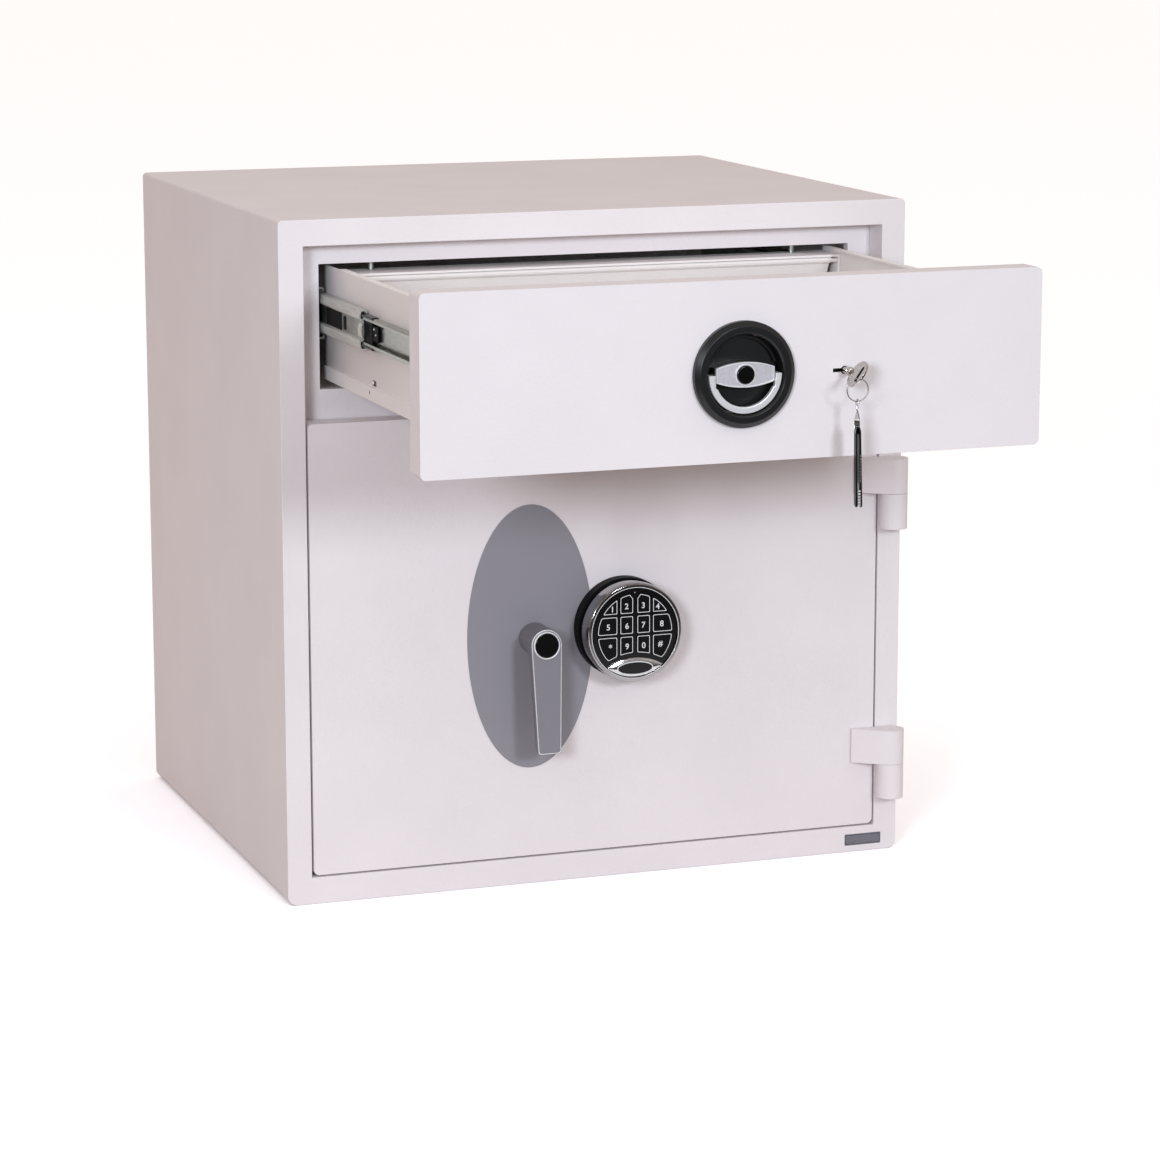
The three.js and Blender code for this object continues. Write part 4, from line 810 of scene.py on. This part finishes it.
link_top, link_drop, link_start, link_twist = -3.2, 24.0, math.radians(30), math.radians(190)
down = np.linspace(0, 1, 50)[:, None]
link_across, link_through = middled(2.5, 0.55, 0.4).T
link_across = link_across * (0.5 + 0.5 * np.sin(np.pi * np.clip(down * 0.9 + 0.1, 0, 1)) ** 0.5)
link_angle = link_start + down * link_twist
link_x = link_across * np.cos(link_angle) - link_through * np.sin(link_angle)
link_y = link_across * np.sin(link_angle) + link_through * np.cos(link_angle)
link_z = np.broadcast_to(link_top - down * link_drop, link_x.shape)
link = loft(np.stack([link_x, link_y, link_z], axis=2))
link_eye = moved(moved(hoop(2.6, 0.7, 40, 12), turn=90, axis="Z"), (0, 0, -1.0))
stand_in("fob_hook", "twisted", [link, link_eye], CHROME, fob_place)

strap_low, strap_high = cad_box("fob_strap")
strap_top = strap_high[2] - fob_place[2] - 5.0
strap_foot = strap_low[2] - fob_place[2]
strap_half = 7.1
strap_turn, strap_lean, leaf_out = -18.0, -1.2, 1.85
stitch_places = np.arange(strap_foot + 22, strap_foot + 44, 2.6)
rib_places = np.arange(strap_foot + 1.5, strap_foot + 14, 2.3)


def leaf_outline(inset):
    """A long rectangle seen from the side, with its corners eased by 3 mm."""
    half = strap_half - inset
    return rectangle(-half, half, strap_foot + inset, strap_top - inset, 3.0)


def hung(grid, side=0.0):
    """Stands a flat grid beside the link, draws it in over the top 9 mm, and turns it as it hangs."""
    points, faces = moved(moved(grid, turn=90, axis="Z"), (side, 0, 0))
    rise = np.clip((points[:, 2] - strap_top + 9.0) / 9.0, 0, 1)
    points[:, 0] *= 1 - 0.5 * rise ** 2
    points[:, 1] *= 1 - 0.4 * rise ** 2
    return moved(moved((points, faces), turn=strap_turn, axis="Z"), turn=strap_lean)


def gap_highlight_outline(inset):
    """A strip between the leaves at their front edge, from above the ribbed end to below the top, drawn grey
    as a painted highlight.
    """
    half = strap_half - inset
    return rectangle(-half, -0.2 * half, strap_foot + 20, strap_top - 6, 0.2)


def rib(low):
    """One rib of the strap's metal end, which stands a little proud of the strap."""
    bar = [(-strap_half - 0.2, low), (3.0 - strap_half, low), (3.0 - strap_half, low + 1.4),
           (-strap_half - 0.2, low + 1.4)]
    return plate(lambda inset: np.array(bar) + (0.5 * inset, 0), -1.1, 1.1, 0.3)


leaves = [hung(plate(leaf_outline, -0.95, 0.95, 0.6, 7), side * leaf_out) for side in (-1, 1)]
# The grey strip between the leaves is a painted highlight.
leaf_gap_highlight = hung(plate(gap_highlight_outline, -0.25, 0.25, 0.1))
stitches = [hung(ball((-strap_half - 0.05, 0, z), 0.4, 6), 1.5) for z in stitch_places]
ribs = [hung(rib(low), 0.3) for low in rib_places]
stand_in("fob_strap", "doubled", leaves, VINYL, fob_place)
piece("fob_strap_painted_highlight", [leaf_gap_highlight], "fob", SHEEN_GREY, fob_place)
piece("fob_strap_stitches", stitches, "fob", THREAD, fob_place)
piece("fob_strap_end", ribs, "fob", MATT_ZINC, fob_place)

# %% [markdown]
# ## Door
#
# The door is a folded pan with a thick plate behind it, and the boltwork stands on that plate in a
# welded box. Two wedge-shaped straps carry it on the lugs. All of it copies the CAD solids with eased
# edges. The cover's screws are turned domes with a black cross, which is painted shade for the cross
# recess.

# %% Door leaf and boltwork
dressed("door_skin", OUTER_PAINT, 1.2, 4)
dressed("door_back_plate", INNER_PAINT, 0.6)
dressed("boltwork_housing", INNER_PAINT, 0.5)
dressed("boltwork_cover", INNER_PAINT, 0.5)
dressed("hinge_side_dog", STEEL, 0.8)
dressed("bolt_carriage", ZINC, 0.4)
dressed("electronic_lock", SATIN, 1.2)
dressed("lock_swing_bolt", STEEL, 0.5)
for level in ("lower", "middle", "upper"):
    dressed(f"locking_bolt_{level}", CHROME, 1.0)
dressed("handle_spindle", STEEL, 0.4)

cover_low, cover_high = cad_box("boltwork_cover")
screw_inset = 12
screw_head = turned([(0, 1.9), (1.6, 1.85), (2.9, 1.2), (3.4, 0.0), (0, 0.0)], 0.3, 32, closed=False)
# Black bars in each screw head: painted shade for the cross recess.
recess = [drawn_out(middled(w, h, 0.1), 1.0, 1.93, 1) for w, h in ((1.7, 0.35), (0.35, 1.7))]
screws, crosses = [], []
for x in (cover_low[0] + screw_inset, 0.0, cover_high[0] - screw_inset):
    for z in (cover_low[2] + screw_inset, cover_high[2] - screw_inset):
        screws.append(moved(screw_head, (x, cover_high[1], z)))
        crosses += [moved(bar, (x, cover_high[1], z)) for bar in recess]
piece("cover_screws", screws, "door", ZINC)
piece("cover_screw_recesses", crosses, "door", BLACK_ABS)

# %% [markdown]
# ## Badge plate and lever
#
# The badge plate is a thin oval of grey film on metal, left bare. The lever is cast zinc: a round hub
# and a flat arm that narrows and leans out to its tip. The arm is one outline drawn in over its edge.
# Its bevel carries a pale line round the face, which is a painted highlight. The collar of the black cap
# on the hub is in the same pale satin.

# %% Oval plate
oval_low, oval_high = cad_box("oval_plate")
oval_centre = (oval_low + oval_high) / 2
oval_half = (oval_high - oval_low) / 2


def oval_outline(inset):
    """An ellipse: each half axis, less the inset, times the cosine or sine."""
    return circle(1.0, 160) * (oval_half[0] - inset, oval_half[2] - inset)


stand_in("oval_plate", "film", [plate(oval_outline, 0.0, oval_high[1] - oval_low[1], 0.2)],
         FILM, (oval_centre[0], oval_low[1], oval_centre[2]))

# %% Lever
lever_place = joint_place("door_handle_turn")
hub_radius, hub_front, hub_back = 14.5, -37.1, -1.1
arm_reach, tip_half, arm_back, arm_lean = 98.0, 10.85, 9.0, -4.7
bevel_width, bevel_drop = 1.7, 1.0


def arm_outline(inset):
    """A half circle over the hub, then straight sides that close in to a tip with eased corners."""
    angle = np.linspace(0, np.pi, 49)
    top = (hub_radius - inset) * np.stack([np.cos(angle), np.sin(angle)], axis=1)
    low, half = -arm_reach + inset, tip_half - inset
    foot = eased([top[-1], (-half, low), (half, low), top[0]], 2.5, 7, closed=False)
    return np.vstack([top, foot[7:-7]])


def on_arm(grid):
    """Lays a shape on the leaning face of the arm."""
    return moved(grid, (0, hub_front, 0), arm_lean, "X")


arm_rows = [(bevel_width, 0.0), (0.15, bevel_drop), (0.0, bevel_drop + 0.3),
            (0.0, arm_back - 0.6), (0.6, arm_back)]
arm = on_arm(loft(np.array([standing(arm_outline(inset), depth) for inset, depth in arm_rows])))
hub = rod(hub_radius - 0.3, hub_front + 2, hub_back, 0.5, 96)
stand_in("door_lever", "cast", [arm, hub], LACQUER, lever_place)
collar = turned([(11.2, -0.7), (12.0, -0.8), (12.5, 0.1), (12.5, 2.0), (11.2, 2.0)], 0.3, 96)
# A pale line on the arm's bevel: a painted highlight.
bevel_highlight = washer(lambda i: arm_outline(0.45 + i), lambda i: arm_outline(1.05 + i), 0.3, 1.3, 0.1)
piece("lever_edge_highlight_and_collar", [on_arm(collar), on_arm(bevel_highlight)], "door_handle", SATIN,
      lever_place)
cap = turned([(0, -0.6), (10.6, -0.55), (11.1, 0.0), (11.1, 2.0), (0, 2.0)], 0.4, 96, closed=False)
stand_in("lever_cap", "moulded", [on_arm(cap)], GLOSS_BLACK, lever_place)

# %% [markdown]
# ## Keypad
#
# The keypad is a chromed ring on a black base, with a gloss black face. The ring is turned with a
# rounded shoulder and a flat front, since it is the changes of slope that put bands into chrome. A
# fine pale line runs round its inner edge. At the foot a domed chrome visor, bounded by two circles,
# carries a bare oval badge. Its rows run from the lower circle, which is the face's own, to the upper
# one, whose centre lies far below. An arched lip stands along the upper circle.

# %% Keypad shell
keypad_low, keypad_high = cad_box("keypad_base")
keypad_place = np.array([(keypad_low[0] + keypad_high[0]) / 2, front_y, (keypad_low[2] + keypad_high[2]) / 2])
ring_out = (keypad_high[0] - keypad_low[0]) / 2
base_front = keypad_low[1] - front_y
base = turned([(0, base_front), (ring_out - 0.7, base_front), (ring_out, base_front + 0.8), (ring_out, -1.1),
               (0, -1.1)], 0.5, 160, closed=False)
stand_in("keypad_base", "moulded", [base], MATT_BLACK, keypad_place)

rim_y = cad_box("keypad_housing")[0][1] - front_y
housing_profile = [(41.2, base_front - 0.3), (ring_out - 3.4, base_front - 0.3),
                   (ring_out - 1.0, base_front - 5.5), (ring_out - 0.3, rim_y + 6.5), (45.3, rim_y + 2.8),
                   (44.4, rim_y + 0.7), (43.9, rim_y + 0.3), (41.2, rim_y + 0.3), (40.9, rim_y + 0.7)]
housing = turned(housing_profile, [0.25, 0.25, 1.0, 2.0, 1.4, 0.8, 0.4, 0.25, 0.25], 192)
face_line = turned([(41.2, rim_y + 0.1), (41.7, rim_y + 0.1), (41.7, rim_y + 0.6), (41.2, rim_y + 0.6)],
                   0.1, 192)
stand_in("keypad_housing", "plated", [housing], SMOKED_CHROME, keypad_place)
piece("keypad_face_line", [face_line], "door", WHITE_INK, keypad_place)
finish_node("keypad_face", GLOSS_BLACK)

# %% Visor, badge and lamp
face_y = rim_y + 2.0
visor_half, visor_bulge, foot_radius, arch_radius, arch_drop = 26.4, 2.1, 41.0, 52.0, 75.4
across = np.linspace(-1, 1, 97)[:, None]
upward = np.linspace(0, 1, 33)[None]
visor_x = np.broadcast_to(visor_half * across, (97, 33))
visor_top = np.sqrt(arch_radius ** 2 - visor_x ** 2) - arch_drop
visor_foot = -np.sqrt(foot_radius ** 2 - visor_x ** 2)
visor_z = visor_foot + np.maximum(visor_top - visor_foot, 0) * upward
visor_y = face_y + 0.3 - visor_bulge * np.sin(np.pi * upward ** 0.8) ** 0.4 * (1 - across ** 4) ** 0.5
visor = loft(np.stack([visor_x, visor_y, visor_z], axis=2), caps=False, close_columns=False)
lip_section = eased([(-1.3, 0.4), (-0.8, -1.9), (0.8, -1.5), (1.0, 0.4)], 0.5)
lip_reach = arch_radius + lip_section[:, 0] * (0.5 + 0.5 * np.sin(np.pi * np.linspace(0, 1, 72))[:, None])
lip = swept(np.radians(np.linspace(60, 120, 72))[:, None], lip_reach, face_y + lip_section[:, 1],
            (0, 0, -arch_drop))
piece("keypad_visor", [visor, lip], "door", CHROME, keypad_place)


def badge_outline(inset):
    """An ellipse 34 mm wide and 12 mm high, drawn in by inset."""
    return circle(1.0, 96) * (17.0 - inset, 6.0 - inset)


badge_place = keypad_place + (0, 0, -32.3)
badge_rim = washer(lambda i: badge_outline(i - 0.2), lambda i: badge_outline(0.7 + i),
                   face_y - 1.95, face_y - 0.5, 0.2)
piece("keypad_badge_rim", [badge_rim], "door", WHITE_INK, badge_place)
badge = plate(lambda i: badge_outline(0.75 + i), face_y - 1.9, face_y - 0.5, 0.2)
piece("keypad_blank_badge", [badge], "door", GLOSS_BLACK, badge_place)
lamp = turned([(0, -0.5), (0.4, -0.4), (0.7, 0.1), (0, 0.1)], 0.2, 24, closed=False)
piece("keypad_lamp", [lamp], "door", LENS, keypad_place + (0, face_y, 36.6))

# %% [markdown]
# ## Keys
#
# Each key is moulded in silicone rubber, and its outline and digit are printed on its front in white.
# An outline is found by casting rays from the middle of the key to its straight sides and to three
# circles: the round field that it stands in, the notch round the lamp, and the badge. The nearest one
# counts, but with a soft minimum in place of a hard one, which rounds the corners as a mould does.

# %% Key outlines
FAR = 90.0
KEY_FIELD, KEY_NOTCH, BADGE_CLEAR, BADGE_DROP = 35.8, 4.0, 52.5, 71.0
key_columns = [(-FAR, -16.7), (-14.5, -1.7), (1.7, 14.5), (16.7, FAR)]
key_rows = [(17.6, FAR), (-0.9, 15.8), (-FAR, -2.7)]
key_middles_x = [[-21.6, -8.1, 8.1, 21.6], [-25.6, -8.1, 8.1, 25.6], [-24.0, -8.1, 8.1, 24.0]]
key_middles_z = [[22.4, 25.5, 25.5, 22.4], [7.4, 7.4, 7.4, 7.4], [-11.5, -11.0, -11.0, -11.5]]
key_names = [["key_1", "key_2", "key_3", "key_4"], ["key_5", "key_6", "key_7", "key_8"],
             ["key_star", "key_9", "key_0", "key_hash"]]


def to_circle(middle, ray, centre_z, radius, inside):
    """Distance along each ray to a circle on the Z axis, from within it or from outside."""
    offset = middle - (0, centre_z)
    along = ray @ offset
    root = along ** 2 - offset @ offset + radius ** 2
    step = np.sqrt(np.maximum(root, 0))
    if inside:
        return -along + step
    return np.where((root > 0) & (along < 0), -along - step, FAR)


def key_outline(row, column, inset, count=144):
    """Rays from the key's middle. Their length is (sum of d ** -16) ** (-1 / 16) over the distances d."""
    middle = np.array([key_middles_x[row][column], key_middles_z[row][column]])
    ray = circle(1.0, count)
    reach = [to_circle(middle, ray, 0, KEY_FIELD - inset, True),
             to_circle(middle, ray, KEY_FIELD, KEY_NOTCH + inset, False),
             to_circle(middle, ray, -BADGE_DROP, BADGE_CLEAR + inset, False)]
    for axis, span in enumerate((key_columns[column], key_rows[row])):
        for sign, edge in zip((-1, 1), span):
            toward = np.maximum(sign * ray[:, axis], 1e-4)
            reach.append((sign * (edge - middle[axis]) - inset) / toward)
    soft = (np.stack(reach) ** -16.0).sum(axis=0) ** (-1 / 16)
    return middle + ray * soft[:, None]


# %% Keys and their printed outlines
key_play = 0.35
key_low, key_high = cad_box("key_6")
key_front, key_back = key_low[1] - front_y, key_high[1] - front_y
for row, names in enumerate(key_names):
    for column, node in enumerate(names):
        rubber = plate(lambda i: key_outline(row, column, key_play + i), key_front, key_back, 0.25)
        stand_in(node, "moulded", [rubber], RUBBER, keypad_place)
        line = washer(lambda i: key_outline(row, column, key_play + 0.1 + i),
                      lambda i: key_outline(row, column, key_play + 0.65 + i),
                      key_front - 0.03, key_front + 0.1, 0.01)
        piece(f"{node}_outline", [line], node_body(node), WHITE_INK, keypad_place)

# %% Printed digits
digit_places = {"1": (-21.7, 22.4), "2": (-8.2, 24.4), "3": (7.7, 24.4), "4": (21.6, 22.5),
                "5": (-25.6, 6.4), "6": (-7.8, 6.4), "7": (7.8, 6.5), "8": (25.5, 6.5),
                "*": (-23.6, -12.3), "9": (-7.6, -12.3), "0": (8.2, -12.3), "#": (24.2, -11.7)}
digit_height = 5.3


def printed_digit(node, mark):
    """A printed digit: a flat letter shape made a mesh, stood up and laid on the key's front."""
    curve = bpy.data.curves.new(f"{node}_digit", "FONT")
    curve.body = mark
    curve.size = digit_height * 1.4 * MM
    curve.align_x, curve.align_y = "CENTER", "CENTER"
    curve.extrude = 0.02 * MM
    curve.offset = 0.1 * MM
    flat = bpy.data.objects.new(f"{node}_flat", curve)
    mesh = bpy.data.meshes.new_from_object(flat)
    mesh.name = f"{node}_digit"
    bpy.data.objects.remove(flat)
    x, z = digit_places[mark]
    place = keypad_place + (x, key_front - 0.01, z)
    mesh.transform(Matrix.Translation(place * MM) @ Matrix.Rotation(math.radians(90), 4, "X"))
    settle(mesh.name, mesh, node_body(node), WHITE_INK)


for names, marks in zip(key_names, ("1234", "5678", "*90#")):
    for node, mark in zip(names, marks):
        printed_digit(node, mark)
print("keys printed:", len(digit_places))

# %% [markdown]
# ## Floor, light and camera
#
# The floor is a pale sheet that fades out about half a metre in front of the open drawer, where the
# dark floor of the studio begins. That keeps the gloss of the black parts dark. Seen by the camera, or
# mirrored, the sheet is drawn brighter than it lights the safe, so it stays near white and holds the
# soft shadow. Two broad lamps to the left and right throw faint double shadows, and the world fills in
# from all round. It is dimmer behind the camera, which puts the dark bands into the chrome.

# %% Floor
floor_half = 60.0
sheet_end, sheet_start = -1.3, -1.0
STUDIO_FLOOR, SHEET, SHEET_SEEN = (0.07, 0.065, 0.06, 1), (0.54, 0.47, 0.43, 1), (1.42, 1.43, 1.49, 1)
floor_points = np.array([(-1, -1, 0), (1, -1, 0), (1, 1, 0), (-1, 1, 0)], float) * floor_half
floor_mesh = bpy.data.meshes.new("floor")
floor_mesh.from_pydata(floor_points, [], [(0, 1, 2, 3)])
floor = placed("floor", floor_mesh)
floor_material, tree, shader = new_material("pale_studio_floor", Roughness=0.9, Specular_IOR_Level=0.0)
spot = add(tree, "ShaderNodeTexCoord").outputs["Object"]
forward = add(tree, "ShaderNodeSeparateXYZ", {"Vector": spot}).outputs["Y"]
on_sheet = spread(tree, forward, start=sheet_end, end=sheet_start)
sheet = blend_colours(tree, on_sheet, STUDIO_FLOOR, SHEET)
rays = add(tree, "ShaderNodeLightPath").outputs
mirrored = joined(tree, "MULTIPLY", rays["Is Glossy Ray"], on_sheet)
direct = joined(tree, "MAXIMUM", rays["Is Camera Ray"], rays["Is Transmission Ray"])
seen = joined(tree, "MAXIMUM", direct, mirrored)
tree.links.new(mixed(tree, seen, sheet, SHEET_SEEN), shader.inputs["Base Color"])
floor.data.materials.append(floor_material)


# %% Lamps and world
lamp_aim = np.array([0.0, -570.0, 440.0]) * MM
lamp_distance, door_behind_aim = 4.0, 0.3


def lamp_from(name, azimuth, elevation, strength, spread_degrees, hue):
    """A round soft lamp: its azimuth runs from the front to the right, its strength is W/m2 at the door."""
    light = bpy.data.lights.new(name, "AREA")
    light.shape = "DISK"
    light.size = 2 * lamp_distance * math.tan(math.radians(spread_degrees / 2))
    light.energy = strength * math.pi * (lamp_distance + door_behind_aim) ** 2
    light.color = hue
    turn, rise = math.radians(azimuth), math.radians(elevation)
    away = np.array([math.sin(turn) * math.cos(rise), -math.cos(turn) * math.cos(rise), math.sin(rise)])
    lamp = placed(name, light)
    lamp.location = lamp_aim + lamp_distance * away
    lamp.rotation_euler = (math.radians(90 - elevation), 0, turn)


lamp_from("lamp_left", azimuth=-36, elevation=13, strength=1.34, spread_degrees=13, hue=(0.83, 0.905, 1.0))
lamp_from("lamp_right", azimuth=9, elevation=15, strength=1.06, spread_degrees=11, hue=(0.84, 0.91, 0.98))

BEHIND_CAMERA, BESIDE, OVERHEAD = (0.3, 0.29, 0.29, 1), (0.26, 0.11, 0.07, 1), (0.87, 0.84, 0.8, 1)
world = bpy.data.worlds.new("studio")
bpy.context.scene.world = world
world.use_nodes = True
sky = world.node_tree
way = add(sky, "ShaderNodeTexCoord").outputs["Generated"]
parts = add(sky, "ShaderNodeSeparateXYZ", {"Vector": way}).outputs
walls = blend_colours(sky, spread(sky, parts["Y"], start=-0.95, end=0.0), BEHIND_CAMERA, BESIDE)
rise = spread(sky, parts["Z"], start=0.1, end=0.8)
sky.links.new(mixed(sky, rise, walls, OVERHEAD), sky.nodes["Background"].inputs["Color"])
sky.nodes["Background"].inputs["Strength"].default_value = 1.0

# %% Camera
camera_place = np.array([-1148.33, -3393.36, 938.31]) * MM
camera_azimuth, camera_elevation, camera_roll = -19.76, 11.19, 0.03
focal_pixels, image_pixels, sensor_width = 3788.47, 1160, 36.0
camera_data = bpy.data.cameras.new("camera")
camera_data.sensor_width = sensor_width
camera_data.lens = focal_pixels / image_pixels * sensor_width
camera_data.clip_end = 200.0
camera = placed("camera", camera_data)
camera.location = camera_place
camera.rotation_euler = np.radians([90 - camera_elevation, camera_roll, camera_azimuth])
bpy.context.scene.camera = camera
bpy.context.scene.view_settings.view_transform = "Standard"
